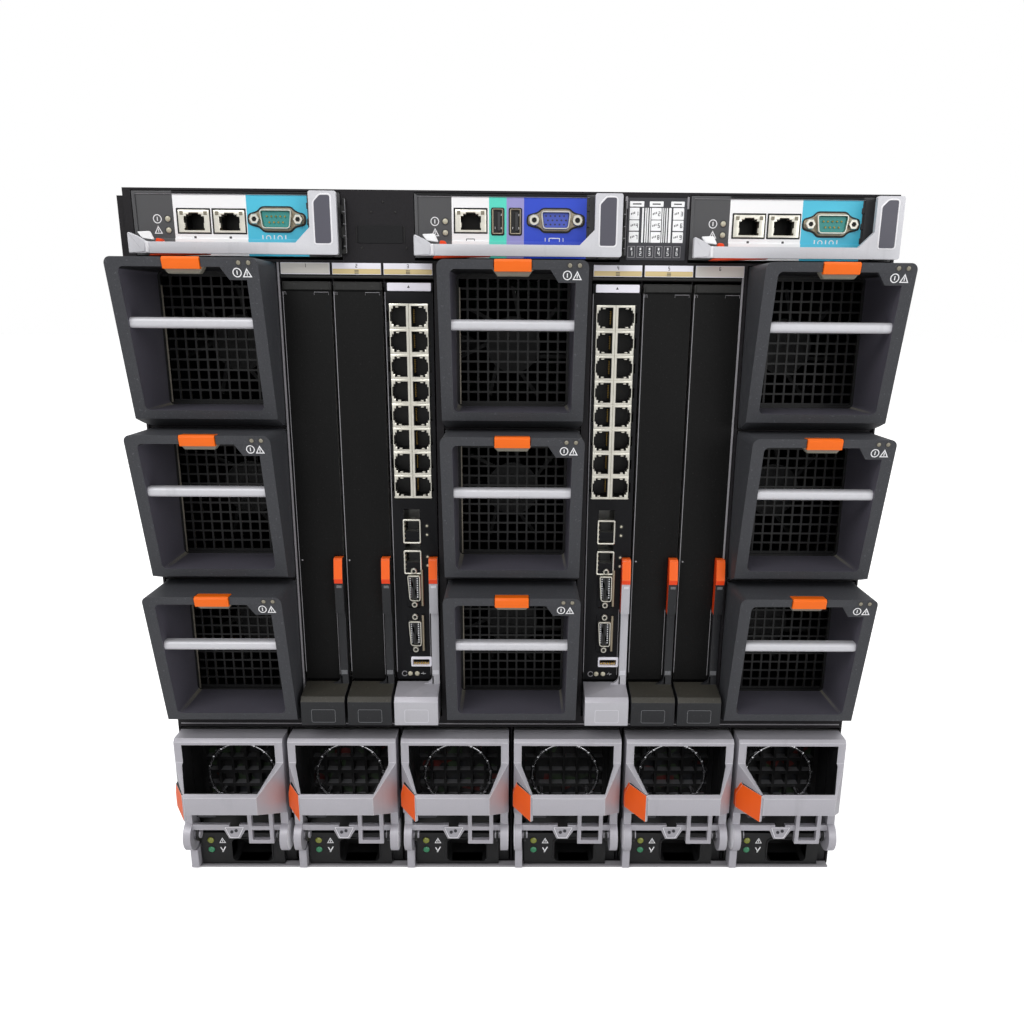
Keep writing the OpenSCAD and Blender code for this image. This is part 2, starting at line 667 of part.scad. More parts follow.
// Catch on the left flank of the handle, a wedge that grows towards its lower end
module psu_catch(k) {
    half = psu_w / 2;
    low = band_z - 5.5;
    color("#f2561d") translate([psu_x[k], rear_y, 0]) intersection() {
        translate([0, 0, low]) linear_extrude(catch_h)
            polygon([[-half - catch_out, -grab_out + 2], [-half - catch_out, -grab_out - 3],
                [-band_w / 2 - 1.4, -band_out + 1.4], [-band_w / 2 + 0.2, -band_out + 2.5],
                [-half + 6, -grab_out - 8], [-half + 1, -grab_out + 2]]);
        backward(-band_out - 1, band_out + 1) polygon([[-half - catch_out, low], [0, low], [0, low + catch_h],
            [-half + catch_slope, low + catch_h], [-half - catch_out, low + catch_h / 2]]);
    }
}

// ---------- management modules ----------

mgmt_z = fan_top + deck / 2 + 1.6;
mgmt_h = height - skin - slide_clear - mgmt_z;
mgmt_pivot = [mgmt_w - 7, -5];

// Case with a face of jacks, sockets and the ears of the handle's pin
module mgmt_case(k) {
    difference() {
        union() {
            box([0, 0, 0], [mgmt_w, mgmt_d, mgmt_h]);
            for (z = [0, mgmt_h - 1.5]) translate([mgmt_pivot[0] - 6, -7, z]) cube([8.5, 8, 1.5]);
        }
        translate([mgmt_pivot[0], mgmt_pivot[1], -1]) cylinder(h = mgmt_h + 2, r = mgmt_pin_r + running);
        // shallow field round the sockets
        box([2, -1, 9.5], [mgmt_w - 18, 0.8, mgmt_h - 1.5]);
        if (k == 1) {
            translate([26, -1, 14]) cube([12.6, 17, 12.5]);
            for (x = [45, 55.2]) translate([x, -1, 13.5]) cube([6, 13, 13.4]);
            translate([73.5, -1, 17]) cube([16.5, 7, 8]);
        } else {
            for (x = [28.3, 48.7]) translate([x, -1, 13.2]) cube([12.2, 17, 11.6]);
            translate([74.5, -1, 14.2]) cube([16.5, 7, 9.4]);
        }
    }
}

module mgmt_module(k) {
    color("#c4c6c8") translate([mgmt_x[k], rear_y, mgmt_z]) mgmt_case(k);
}

// Handle: an upright plate and a long bar that swing out on the pin
module mgmt_handle(k) {
    p = mgmt_pivot;
    plate_x = mgmt_w - 15.6;
    color("#c9cacd") translate([mgmt_x[k], rear_y, mgmt_z]) {
        backward(-mgmt_out, 3.5) difference() {
            union() {
                translate([plate_x, 0.6]) soft_rect(15.6, mgmt_h - 1.2, 1.2);
                translate([4, 0.6]) square([mgmt_w - 6, mgmt_bar_h]);
                polygon([[plate_x - 9, mgmt_bar_h], [plate_x + 1, mgmt_bar_h], [plate_x + 1, mgmt_bar_h + 10]]);
            }
        }
        // boss and web that hold the pin
        translate([p[0], p[1], 2]) cylinder(h = mgmt_h - 4, r = 2.8);
        box([p[0] - 2, -mgmt_out + 3, 2], [p[0] + 2, p[1], mgmt_h - 2]);
        translate([p[0], p[1], 0.4]) cylinder(h = mgmt_h - 0.8, r = mgmt_pin_r);
        // catch block at the free end
        box([4, -mgmt_out + 3, 1.2], [16, -0.4, mgmt_bar_h + 0.4]);
    }
}

// ---------- drawing ----------

chassis_shell();
top_cover();
bay_decks();
bay_walls();
bay_headers();
mgmt_cage();
slot_labels();
midplane();
front_frame();
blade_blanks();
control_panel();
power_button();
for (k = [0 : 8]) fan(k);
for (k = [0 : 8]) fan_latch(k);
for (k = [0 : 5]) io_module(k);
for (k = [0 : 5]) io_lever(k);
for (k = [0 : 5]) psu(k);
for (k = [0 : 5]) psu_handle(k);
for (k = [0 : 2]) mgmt_module(k);
for (k = [0 : 2]) mgmt_handle(k);
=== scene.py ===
import math

import bmesh
import bpy
import numpy as np
from mathutils import Matrix, Vector


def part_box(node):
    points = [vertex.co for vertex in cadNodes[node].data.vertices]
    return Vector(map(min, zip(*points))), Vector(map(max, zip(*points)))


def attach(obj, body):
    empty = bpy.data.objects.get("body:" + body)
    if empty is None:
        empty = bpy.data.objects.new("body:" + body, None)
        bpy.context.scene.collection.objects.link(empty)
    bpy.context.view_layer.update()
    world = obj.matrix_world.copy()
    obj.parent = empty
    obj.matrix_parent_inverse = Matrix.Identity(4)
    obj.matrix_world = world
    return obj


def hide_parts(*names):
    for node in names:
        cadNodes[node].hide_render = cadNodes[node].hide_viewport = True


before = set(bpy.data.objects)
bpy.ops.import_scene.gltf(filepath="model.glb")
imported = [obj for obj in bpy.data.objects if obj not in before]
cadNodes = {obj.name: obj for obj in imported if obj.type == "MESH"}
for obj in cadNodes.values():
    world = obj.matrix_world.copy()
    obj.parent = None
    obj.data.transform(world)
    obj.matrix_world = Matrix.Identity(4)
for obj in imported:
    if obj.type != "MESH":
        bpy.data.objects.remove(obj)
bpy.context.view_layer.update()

mm = 0.001
print("frame loaded:", len(cadNodes), "nodes")


def corners(node):
    # lowest and highest corner of a CAD node, in millimetres
    low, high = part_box(node)
    return np.array(low) / mm, np.array(high) / mm


shellLow, shellHigh = corners("chassis_shell")
rearY = shellLow[1]  # the rear face of the enclosure
frontY = shellHigh[1]


# shader sums

class Wire:
    # a socket that takes part in sums: each operator adds one Math node
    def __init__(self, tree, socket):
        self.tree, self.socket = tree, socket

    def join(self, operation, a, b=None, c=None):
        node = self.tree.nodes.new("ShaderNodeMath")
        node.operation = operation
        for slot, value in zip(node.inputs, (a, b, c)):
            if isinstance(value, Wire):
                self.tree.links.new(value.socket, slot)
            elif value is not None:
                slot.default_value = value
        return Wire(self.tree, node.outputs[0])

    def __add__(self, other): return self.join("ADD", self, other)
    def __radd__(self, other): return self.join("ADD", other, self)
    def __sub__(self, other): return self.join("SUBTRACT", self, other)
    def __rsub__(self, other): return self.join("SUBTRACT", other, self)
    def __mul__(self, other): return self.join("MULTIPLY", self, other)
    def __rmul__(self, other): return self.join("MULTIPLY", other, self)
    def __gt__(self, other): return self.join("GREATER_THAN", self, other)
    def __lt__(self, other): return self.join("LESS_THAN", self, other)


class Finish:
    # one material; node() makes any node from its type, its settings and its inputs
    def __init__(self, name):
        self.material = bpy.data.materials.new(name)
        self.material.use_nodes = True
        self.tree = self.material.node_tree
        self.shader = self.tree.nodes["Principled BSDF"]

    def node(self, kind, settings=None, values=None, out=0):
        node = self.tree.nodes.new("ShaderNode" + kind)
        for key, value in (settings or {}).items():
            if key == "stops":
                stops = node.color_ramp.elements
                while len(stops) < len(value):
                    stops.new(0.5)
                for stop, (place, colour) in zip(stops, value):
                    stop.position, stop.color = place, (*colour, 1)
            elif key == "interpolation":
                node.color_ramp.interpolation = value
            else:
                setattr(node, key, value)
        for key, value in (values or {}).items():
            self.put(node.inputs[key], value)
        return Wire(self.tree, node.outputs[out])

    def put(self, slot, value):
        if isinstance(value, Wire):
            self.tree.links.new(value.socket, slot)
        elif isinstance(value, (tuple, list)):
            slot.default_value = tuple(value)[:len(slot.default_value)]
        else:
            slot.default_value = value

    def set(self, **values):
        names = {"colour": "Base Color", "rough": "Roughness", "metal": "Metallic", "coat": "Coat Weight",
                 "normal": "Normal", "glow": "Emission Color", "glowPower": "Emission Strength",
                 "specular": "Specular IOR Level"}
        for key, value in values.items():
            self.put(self.shader.inputs[names[key]], value)
        return self

    def place(self, scale=(1, 1, 1)):
        at = self.node("TexCoord", out=3)
        return at if scale == (1, 1, 1) else self.node("Mapping", values={0: at, "Scale": scale})

    def noise(self, size, detail=2, scale=(1, 1, 1)):
        # soft noise whose patches are about that many millimetres across
        return self.node("TexNoise", values={0: self.place(scale), "Scale": 1 / (size * mm),
                                             "Detail": detail})

    def mix(self, mask, a, b, blend="MIX"):
        node = self.tree.nodes.new("ShaderNodeMix")
        node.data_type, node.blend_type = "RGBA", blend
        for index, value in ((0, mask), (6, a), (7, b)):
            self.put(node.inputs[index], value)
        return Wire(self.tree, node.outputs[2])

    def bump(self, height, depth, strength=1.0):
        return self.node("Bump", values={"Height": height, "Distance": depth * mm, "Strength": strength})


def srgb(*colour):
    # screen values from 0 to 255 as linear light
    c = np.array(colour, float) / 255
    return tuple(np.where(c < 0.04045, c / 12.92, ((c + 0.055) / 1.055) ** 2.4)) + (1.0,)


finishes = {}


def moulded(name, colour, rough=0.55, grain=0.7, depth=0.06, dust=0.10, shine=0.35):
    # moulded plastic: pebbled grain, uneven gloss and a little dust that lies in the grain
    f = Finish(name)
    pebble = f.node("TexVoronoi", {"feature": "SMOOTH_F1"}, {0: f.place(), "Scale": 1 / (grain * mm)})
    soft = f.noise(grain * 2.2)
    cloud = f.noise(38, 3)
    speck = f.noise(1.3, 1) > 0.71
    paler = tuple(min(1, c * 1.7 + 0.012) for c in colour[:3]) + (1,)
    tone = f.mix(cloud * 0.55, colour, tuple(c * 0.78 for c in colour[:3]) + (1,))
    tone = f.mix(speck * dust * 3.0 + pebble * dust, tone, paler)
    f.set(colour=tone, rough=cloud * 0.16 + (rough - 0.08), specular=shine,
          normal=f.bump(pebble * 0.7 + soft * 0.5, depth))
    finishes[name] = f.material
    return f


def powder(name, colour, rough=0.5, grain=0.9, depth=0.07, paintedGlint=0.35, shine=0.35):
    # powder coat: orange-peel bump, with painted glints as fine paler specks on the tops of the grain
    f = Finish(name)
    peel = f.noise(grain, 3)
    fine = f.noise(grain * 0.45, 2)
    cloud = f.noise(60, 3)
    # painted glints: the tops of the finest grain are lightened
    top = f.node("MapRange", values={0: fine, 1: 0.52, 2: 0.72, 3: 0.0, 4: paintedGlint})
    paler = tuple(min(1, c * 2.1 + 0.03) for c in colour[:3]) + (1,)
    tone = f.mix(cloud * 0.5, colour, tuple(c * 0.8 for c in colour[:3]) + (1,))
    f.set(colour=f.mix(top, tone, paler), rough=fine * 0.2 + (rough - 0.1), specular=shine,
          normal=f.bump(peel * 0.7 + fine * 0.4, depth))
    finishes[name] = f.material
    return f


def painted(name, colour, metal=0.45, rough=0.36, flake=0.4, depth=0.02):
    # silver paint: tiny flakes that catch the light, and faint handling marks
    f = Finish(name)
    flakes = f.node("TexVoronoi", values={0: f.place(), "Scale": 1 / (0.35 * mm)}, out=1)
    level = f.node("SeparateColor", values={0: flakes})
    cloud = f.noise(24, 4)
    mark = f.noise(9, 4, (1, 1, 0.15))
    smear = f.node("MapRange", values={0: mark, 1: 0.60, 2: 0.74, 3: 0.0, 4: 0.30})
    tone = f.mix(level * flake * 0.4, colour, tuple(min(1, c * 1.35 + 0.02) for c in colour[:3]) + (1,))
    tone = f.mix(cloud * 0.35 + smear, tone, tuple(c * 0.74 for c in colour[:3]) + (1,))
    f.set(colour=tone, rough=cloud * 0.14 + smear * 0.4 + (rough - 0.07), metal=metal,
          normal=f.bump(level * 0.5 + f.noise(1.2) * 0.6, depth))
    finishes[name] = f.material
    return f


def bareMetal(name, colour, rough=0.32, grain=1.4, depth=0.01, along=(1, 1, 1)):
    # bare or plated metal: broad patches of the plating and fine lines along one way
    f = Finish(name)
    patch = f.node("TexVoronoi", values={0: f.place(), "Scale": 1 / (grain * 3 * mm)}, out=1)
    level = f.node("SeparateColor", values={0: patch})
    lines = f.noise(grain, 4, along)
    tone = f.mix(level * 0.25 + lines * 0.25, colour, tuple(c * 0.7 for c in colour[:3]) + (1,))
    f.set(colour=tone, rough=lines * 0.25 + (rough - 0.1), metal=1.0, normal=f.bump(lines, depth))
    finishes[name] = f.material
    return f


def printed(name, colour, rough=0.42, worn=0.10):
    # printed film or label: even ink with faint unevenness and rubbed spots
    f = Finish(name)
    cloud = f.noise(6, 4)
    rub = f.noise(1.6, 3)
    tone = f.mix(cloud * worn * 2, colour, tuple(c * 0.82 for c in colour[:3]) + (1,))
    f.set(colour=tone, rough=rub * 0.14 + (rough - 0.07), normal=f.bump(rub, 0.012))
    finishes[name] = f.material
    return f


def lens(name, colour, glow=0.0):
    # small cast lens with a paler middle
    f = Finish(name)
    cloud = f.noise(1.1, 2)
    pale = tuple(min(1, c * 1.5 + 0.05) for c in colour[:3]) + (1,)
    f.set(colour=f.mix(cloud * 0.6, colour, pale), rough=cloud * 0.1 + 0.12, coat=0.6, glow=colour,
          glowPower=glow,
          normal=f.bump(cloud, 0.01))
    finishes[name] = f.material
    return f


powder("chassisPaint", srgb(25, 23, 26), rough=0.55, paintedGlint=0.3, shine=0.2)
powder("cagePaint", srgb(17, 17, 19), rough=0.5, paintedGlint=0.2, shine=0.2)
moulded("shroudPlastic", srgb(56, 57, 61), rough=0.6, grain=0.8, depth=0.1, dust=0.4)
# painted highlight, with some edge wear, for the bevelled edges of the fan shroud
moulded("shroudEdge", srgb(118, 119, 123), rough=0.5, grain=0.8, depth=0.03, dust=0.1)
moulded("linerPlastic", srgb(88, 86, 96), rough=0.5, grain=0.5, depth=0.03)
# painted shade: a darker copy of the liner plastic for the cave's downward faces
moulded("linerTop", srgb(34, 34, 37), rough=0.5, grain=0.5, depth=0.03)
painted("barPaint", srgb(206, 206, 211), metal=0.15, rough=0.42, flake=0.3)
moulded("latchOrange", srgb(255, 112, 8), rough=0.42, grain=0.5, depth=0.015, dust=0.02)
moulded("leverOrange", srgb(246, 70, 14), rough=0.42, grain=0.5, depth=0.015, dust=0.02)
moulded("catchOrange", srgb(255, 98, 8), rough=0.42, grain=0.5, depth=0.015, dust=0.02)
# painted highlight: a paler copy of the latch orange for its lit front
moulded("leverOrangePale", srgb(255, 104, 30), rough=0.42, grain=0.5, depth=0.015, dust=0.02)
powder("grilleBlack", srgb(17, 17, 18), rough=0.4, paintedGlint=0.1, depth=0.02)
# pale steel colour, also painted on the sides of the black grille wires as a highlight
bareMetal("grilleSteel", srgb(150, 144, 132), rough=0.42, grain=0.8)
bareMetal("tubeSteel", srgb(168, 168, 166), rough=0.4)
moulded("throatStrip", srgb(132, 129, 117), rough=0.5, grain=0.6, depth=0.02)
# dark rotor plastic; it also covers the tube's inner walls behind the grille as painted shade
moulded("rotorPlastic", srgb(20, 20, 21), rough=0.45, grain=0.9, depth=0.02)
moulded("blankPlastic", srgb(11, 11, 11), rough=0.58, grain=0.8, depth=0.06, dust=0.2, shine=0.13)
moulded("blankBand", srgb(38, 38, 37), rough=0.52, grain=0.8, depth=0.06, dust=0.26, shine=0.25)
# pale trim colour, also used as painted highlight along lit edges
moulded("edgeLight", srgb(150, 148, 152), rough=0.4, grain=0.6, depth=0.01)
moulded("switchFace", srgb(13, 13, 16), rough=0.55, grain=0.8, depth=0.03, dust=0.1, shine=0.15)
moulded("leverBlack", srgb(27, 28, 31), rough=0.46, grain=0.7, depth=0.05, dust=0.2)
moulded("leverDusty", srgb(50, 48, 42), rough=0.56, grain=0.7, depth=0.05, dust=0.4)
# painted highlight for the black lever's bevelled edges
moulded("leverRim", srgb(104, 105, 108), rough=0.46, grain=0.7, depth=0.03, dust=0.2)
painted("leverSilver", srgb(184, 183, 189), metal=0.15, rough=0.44)
# painted highlight for the silver lever's bevelled edges
painted("leverSilverRim", srgb(214, 213, 220), metal=0.2, rough=0.38)
painted("handlePaint", srgb(178, 176, 183), metal=0.2, rough=0.42)
# painted highlight for the handles' bevelled edges and raised rims
painted("handleEdge", srgb(244, 243, 247), metal=0.1, rough=0.34)
moulded("psuPlastic", srgb(22, 22, 23), rough=0.42, grain=0.7, depth=0.03)
bareMetal("wireChrome", srgb(214, 214, 218), rough=0.2, grain=0.9)
painted("mgmtSilver", srgb(208, 208, 213), metal=0.15, rough=0.42)
bareMetal("jackSteel", srgb(214, 211, 200), rough=0.36, grain=1.0)
bareMetal("flangeSteel", srgb(150, 140, 122), rough=0.42, grain=1.0)
# black jack plastic, also used for the painted shadow rings round sockets
moulded("jackPlastic", srgb(15, 15, 16), rough=0.45, grain=0.6, depth=0.01)
bareMetal("gold", srgb(214, 176, 96), rough=0.3, grain=0.7)
printed("faceGrey", srgb(70, 70, 72))
printed("faceDark", srgb(46, 46, 48))
printed("faceWhite", srgb(254, 254, 255), worn=0.03)
printed("faceTeal", srgb(76, 196, 226), worn=0.06)
printed("faceMint", srgb(92, 226, 204))
printed("faceLavender", srgb(160, 156, 214))
printed("faceBlue", srgb(44, 76, 206))
printed("insertTeal", srgb(52, 142, 138))
printed("insertBlue", srgb(70, 88, 184))
printed("labelWhite", srgb(240, 238, 247), worn=0.05)
printed("labelTan", srgb(214, 193, 140))
printed("labelWarm", srgb(206, 202, 196))
printed("plateDark", srgb(48, 48, 54))
printed("inkWhite", srgb(238, 238, 240), worn=0.02)
printed("inkDark", srgb(40, 40, 48), worn=0.02)
printed("recessViolet", srgb(80, 79, 90))
lens("lensClear", srgb(122, 116, 98))
lens("lensBeige", srgb(176, 170, 148))
lens("lensOlive", srgb(112, 118, 8), glow=0.03)
lens("lensGreen", srgb(8, 112, 70), glow=0.03)
powder("boardGreen", srgb(47, 90, 60), rough=0.4, paintedGlint=0.1, depth=0.02)
print("finishes made:", len(finishes))


# shapes as points and faces, in millimetres

class Kit:
    # parts of one piece: points, faces, and a finish for each face
    def __init__(self):
        self.points, self.faces, self.finish, self.count = [], [], [], 0

    def add(self, shape, finish, shift=(0, 0, 0)):
        points, faces = shape
        points = np.asarray(points, float).reshape(-1, 3) + np.array(shift, float)
        self.points.append(points)
        for face in faces:
            self.faces.append([int(i) + self.count for i in face])
            self.finish.append(finish)
        self.count += len(points)
        return self

    def addKit(self, other, shift=(0, 0, 0)):
        for points in other.points:
            self.points.append(points + np.array(shift, float))
        self.faces += [[i + self.count for i in face] for face in other.faces]
        self.finish += other.finish
        self.count += other.count
        return self

    def make(self, name, body, smooth=32, replaces=(), slot=None):
        mesh = bpy.data.meshes.new(name)
        points = np.concatenate(self.points) * mm
        mesh.from_pydata(points.tolist(), [], self.faces)
        used = sorted(set(self.finish))
        for key in used:
            mesh.materials.append(finishes[key])
        mesh.polygons.foreach_set("material_index", [used.index(key) for key in self.finish])
        mesh.validate()
        mesh.update()
        piece = bpy.data.objects.new(name, mesh)
        bpy.context.scene.collection.objects.link(piece)
        if smooth:
            mesh.shade_smooth()
            mesh.set_sharp_from_angle(angle=math.radians(smooth))
        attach(piece, body)
        if replaces:
            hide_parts(*replaces)
        return piece


def gridFaces(rows, columns, closeRows=False, closeColumns=True):
    # quads of a grid of points, row by row, joined round the columns if it is closed
    r = np.arange(rows if closeRows else rows - 1)[:, None]
    c = np.arange(columns if closeColumns else columns - 1)[None, :]
    r2, c2 = (r + 1) % rows, (c + 1) % columns
    quads = np.stack([r * columns + c, r * columns + c2, r2 * columns + c2, r2 * columns + c], -1)
    return quads.reshape(-1, 4)


def roundedBox(x0, z0, x1, z1, r, steps=4):
    # outline of a rectangle with quarter-circle corners, anticlockwise seen from the rear
    r = max(min(r, (x1 - x0) / 2 - 1e-4, (z1 - z0) / 2 - 1e-4), 1e-3)
    turn = np.linspace(0, math.pi / 2, steps + 1)
    parts = []
    for k, (cx, cz) in enumerate(((x1 - r, z0 + r), (x1 - r, z1 - r), (x0 + r, z1 - r), (x0 + r, z0 + r))):
        a = turn + (k - 1) * math.pi / 2
        parts.append(np.stack([cx + r * np.cos(a), cz + r * np.sin(a)], 1))
    return np.concatenate(parts)


def softCorners(points, r, steps=3):
    # an outline whose corners are rounded by a parabola that starts r before and ends r after each of them
    points = np.asarray(points, float)
    out = []
    for before, at, after in zip(np.roll(points, 1, 0), points, np.roll(points, -1, 0)):
        a = at + (before - at) * min(0.49, r / np.linalg.norm(before - at))
        b = at + (after - at) * min(0.49, r / np.linalg.norm(after - at))
        out += [(1 - t) ** 2 * a + 2 * t * (1 - t) * at + t ** 2 * b for t in np.linspace(0, 1, steps + 1)]
    return np.array(out)


def disc(x, z, r, sides=24, start=0.0):
    a = np.arange(sides) * 2 * math.pi / sides + start
    return np.stack([x + r * np.cos(a), z + r * np.sin(a)], 1)


def inward(outline, d):
    # the outline moved inwards by d along the bisector of its two edges at each corner
    ahead = np.roll(outline, -1, 0) - outline
    behind = outline - np.roll(outline, 1, 0)
    ahead /= np.linalg.norm(ahead, axis=1)[:, None] + 1e-9
    behind /= np.linalg.norm(behind, axis=1)[:, None] + 1e-9
    n = np.stack([-(ahead + behind)[:, 1], (ahead + behind)[:, 0]], 1)
    n /= np.linalg.norm(n, axis=1)[:, None] + 1e-9
    side = np.stack([-ahead[:, 1], ahead[:, 0]], 1)
    return outline + n * (d / np.maximum((n * side).sum(1), 0.35))[:, None]


def plate(outline, steps, closeBack=True):
    # an outline (x, z) carried through steps (inset, y), closed by a cap at each end
    outline = np.asarray(outline, float)
    rings = [np.insert(inward(outline, d), 1, y, axis=1) for d, y in steps]
    n = len(outline)
    faces = [list(f) for f in gridFaces(len(rings), n)]
    faces.append(list(range(n))[::-1] if closeBack else [])
    faces.append(list(range((len(rings) - 1) * n, len(rings) * n)))
    return np.concatenate(rings), [f for f in faces if len(f)]


def frameRing(outer, inner, steps):
    # a ring between two outlines of the same count: each step (share, y) lies that share of the way inwards
    outer, inner = np.asarray(outer, float), np.asarray(inner, float)
    rings = [np.insert(outer * (1 - s) + inner * s, 1, y, axis=1) for s, y in steps]
    return np.concatenate(rings), [list(f) for f in gridFaces(len(rings), len(outer), closeRows=True)]


def frames(path, closed):
    # along the path, two unit vectors across it that turn as little as they can
    ahead = np.roll(path, -1, 0) - np.roll(path, 1, 0)
    if not closed:
        ahead[0], ahead[-1] = path[1] - path[0], path[-1] - path[-2]
    ahead /= np.linalg.norm(ahead, axis=1)[:, None]
    helper = np.where(np.abs(ahead[:, 2:]) < 0.8, [[0, 0, 1.0]], [[0, 1.0, 0]])
    first = np.cross(ahead, helper)
    first /= np.linalg.norm(first, axis=1)[:, None]
    return first, np.cross(ahead, first)


def tube(path, radius, sides=10, closed=False):
    # a circle of that radius carried along the path, which may give a radius for each point
    path = np.asarray(path, float)
    u, v = frames(path, closed)
    a = np.arange(sides) * 2 * math.pi / sides
    r = np.broadcast_to(np.asarray(radius, float), (len(path),))[:, None, None]
    ring = u[:, None] * np.cos(a)[None, :, None] + v[:, None] * np.sin(a)[None, :, None]
    points = path[:, None] + r * ring
    faces = [list(f) for f in gridFaces(len(path), sides, closeRows=closed)]
    if not closed:
        faces += [list(range(sides))[::-1], list(range((len(path) - 1) * sides, len(path) * sides))]
    return points.reshape(-1, 3), faces


def lathe(profile, x, z, sides=24):
    # a profile of (radius, y) turned about the line along Y through (x, z); an end at radius 0 closes
    profile = np.asarray(profile, float)
    a = np.arange(sides) * 2 * math.pi / sides
    r, y = profile[:, 0][:, None], profile[:, 1][:, None]
    points = np.stack([x + r * np.cos(a), y + 0 * a, z + r * np.sin(a)], -1)
    faces = [list(f) for f in gridFaces(len(profile), sides)]
    faces += [list(range(sides))[::-1], list(range((len(profile) - 1) * sides, len(profile) * sides))]
    return points.reshape(-1, 3), faces


def block(low, high, edge=0.0):
    # a box with its edges cut back, as an outline carried along Y
    x0, y0, z0 = low
    x1, y1, z1 = high
    e = min(edge, (x1 - x0) / 3, (z1 - z0) / 3, (y1 - y0) / 3)
    outline = roundedBox(x0, z0, x1, z1, max(e, 0.01), 2 if e else 1)
    if e:
        return plate(outline, [(e, y1), (0, y1 - e), (0, y0 + e), (e, y0)])
    return plate(outline, [(0, y1), (0, y0)])


def moved(shape, turn):
    # the same shape with its points put through a function
    points, faces = shape
    return turn(np.asarray(points, float).reshape(-1, 3)), faces


# copies of CAD nodes with rounded edges and a finish for each region

def dressedCopy(node, rule, bevel=0.5, where=None, edgeFinish=None, flat=0.6, segments=2, cuts=()):
    # the node's triangles are merged, flat areas are joined and cut at the given x, and sharp edges in a
    # region are rounded; rule(centres, normals) gives a finish for each face, in millimetres
    bm = bmesh.new()
    bm.from_mesh(cadNodes[node].data)
    bmesh.ops.remove_doubles(bm, verts=bm.verts, dist=2e-6)
    bmesh.ops.dissolve_limit(bm, angle_limit=math.radians(flat), verts=bm.verts, edges=bm.edges)
    for x in cuts:
        bmesh.ops.bisect_plane(bm, geom=bm.verts[:] + bm.edges[:] + bm.faces[:], plane_co=(x * mm, 0, 0),
                               plane_no=(1, 0, 0))
    bm.faces.ensure_lookup_table()
    names = rule(np.array([f.calc_center_median() for f in bm.faces]) / mm,
                 np.array([f.normal for f in bm.faces]))
    keys = sorted(set(names) | ({edgeFinish} if edgeFinish else set()))
    for face, key in zip(bm.faces, names):
        face.material_index = keys.index(key)
    if bevel:
        edges = [e for e in bm.edges if len(e.link_faces) == 2 and e.calc_face_angle(0) > math.radians(24)
                 and e.calc_length() > bevel * 1.4 * mm
                 and (where is None or where(np.array([v.co for v in e.verts]).mean(0) / mm))]
        bmesh.ops.bevel(bm, geom=edges, offset=bevel * mm, segments=segments, profile=0.6, affect="EDGES",
                        clamp_overlap=True, material=keys.index(edgeFinish) if edgeFinish else -1)
    kit = Kit()
    bm.verts.index_update()
    points = np.array([v.co for v in bm.verts]) / mm
    kit.points, kit.count = [points], len(points)
    kit.faces = [[v.index for v in f.verts] for f in bm.faces]
    kit.finish = [keys[f.material_index] for f in bm.faces]
    bm.free()
    return kit


def dressNode(node, key):
    # a CAD node that stays as it is and gets a better finish
    slots = cadNodes[node].data.materials
    slots.clear()
    slots.append(finishes[key])


def near(values, target, gap=0.06):
    return np.abs(values - target) < gap


# fan modules

fanSize = {"halfOpening": 34.7, "openingLow": 11.8, "openingTop": 91.1, "outTop": 40.0, "outLow": 19.0,
           "lift": 6.8,
           "top": 96.1, "barZ": 61.47, "grille": 20.0, "plateX": 19.5, "plateZ": 84.3,
           "lamps": [(31.2, 93.3), (36.6, 93.3)], "ringIcon": (29.9, 88.2), "warnIcon": (35.3, 88.0)}


def fanFace(z):
    # y of the shroud's sloping face at a height in the bay
    s = fanSize
    return -s["outLow"] - (s["outTop"] - s["outLow"]) * (z - s["lift"]) / (s["top"] - s["lift"])


def onSlope(shape):
    return moved(shape, lambda p: np.stack([p[:, 0], p[:, 1] + fanFace(p[:, 2]), p[:, 2]], 1))


def ringIcon(x, z, r, stroke=0.55, y=-0.1, sides=20):
    # a ring with a short upright tick in it
    kit = Kit()
    kit.add(frameRing(disc(x, z, r, sides), disc(x, z, r - stroke, sides),
                      [(0, y + 0.1), (0, y), (1, y), (1, y + 0.1)]), "inkWhite")
    kit.add(plate(roundedBox(x - 0.28, z - r * 0.45, x + 0.28, z + r * 0.45, 0.1, 1), [(0, y + 0.1), (0, y)]),
            "inkWhite")
    return kit


def warnIcon(x, z, size, stroke=0.55, y=-0.1):
    # a triangle outline with a short upright mark in it
    kit = Kit()
    outer = np.array([(x - size / 2, z - size * 0.42), (x + size / 2, z - size * 0.42), (x, z + size * 0.5)])
    kit.add(frameRing(outer, inward(outer, stroke), [(0, y + 0.1), (0, y), (1, y), (1, y + 0.1)]), "inkWhite")
    kit.add(plate(roundedBox(x - 0.25, z - size * 0.25, x + 0.25, z + size * 0.14, 0.1, 1),
                  [(0, y + 0.1), (0, y)]), "inkWhite")
    return kit


def lamp(x, z, r, key, y=0.0, ring="jackPlastic"):
    # a domed lens in a dark collar
    kit = Kit()
    kit.add(lathe([(r + 0.7, y + 0.3), (r + 0.7, y - 0.12), (r + 0.45, y - 0.2), (r, y - 0.1), (r, y + 0.3)],
                  x, z, 20), ring)
    dome = [(r * math.cos(t), y - 0.05 - r * 0.42 * math.sin(t)) for t in np.linspace(0, 1.45, 6)]
    kit.add(lathe([(r * 0.98, y + 0.3)] + dome, x, z, 20), key)
    return kit


def sloped(kit):
    kit.points = [np.stack([p[:, 0], p[:, 1] + fanFace(p[:, 2]), p[:, 2]], 1) for p in kit.points]
    return kit


fanLow, fanHigh = corners("fan_5")
fanOrigin = np.array([(fanLow[0] + fanHigh[0]) / 2, rearY, fanLow[2] - 0.4])


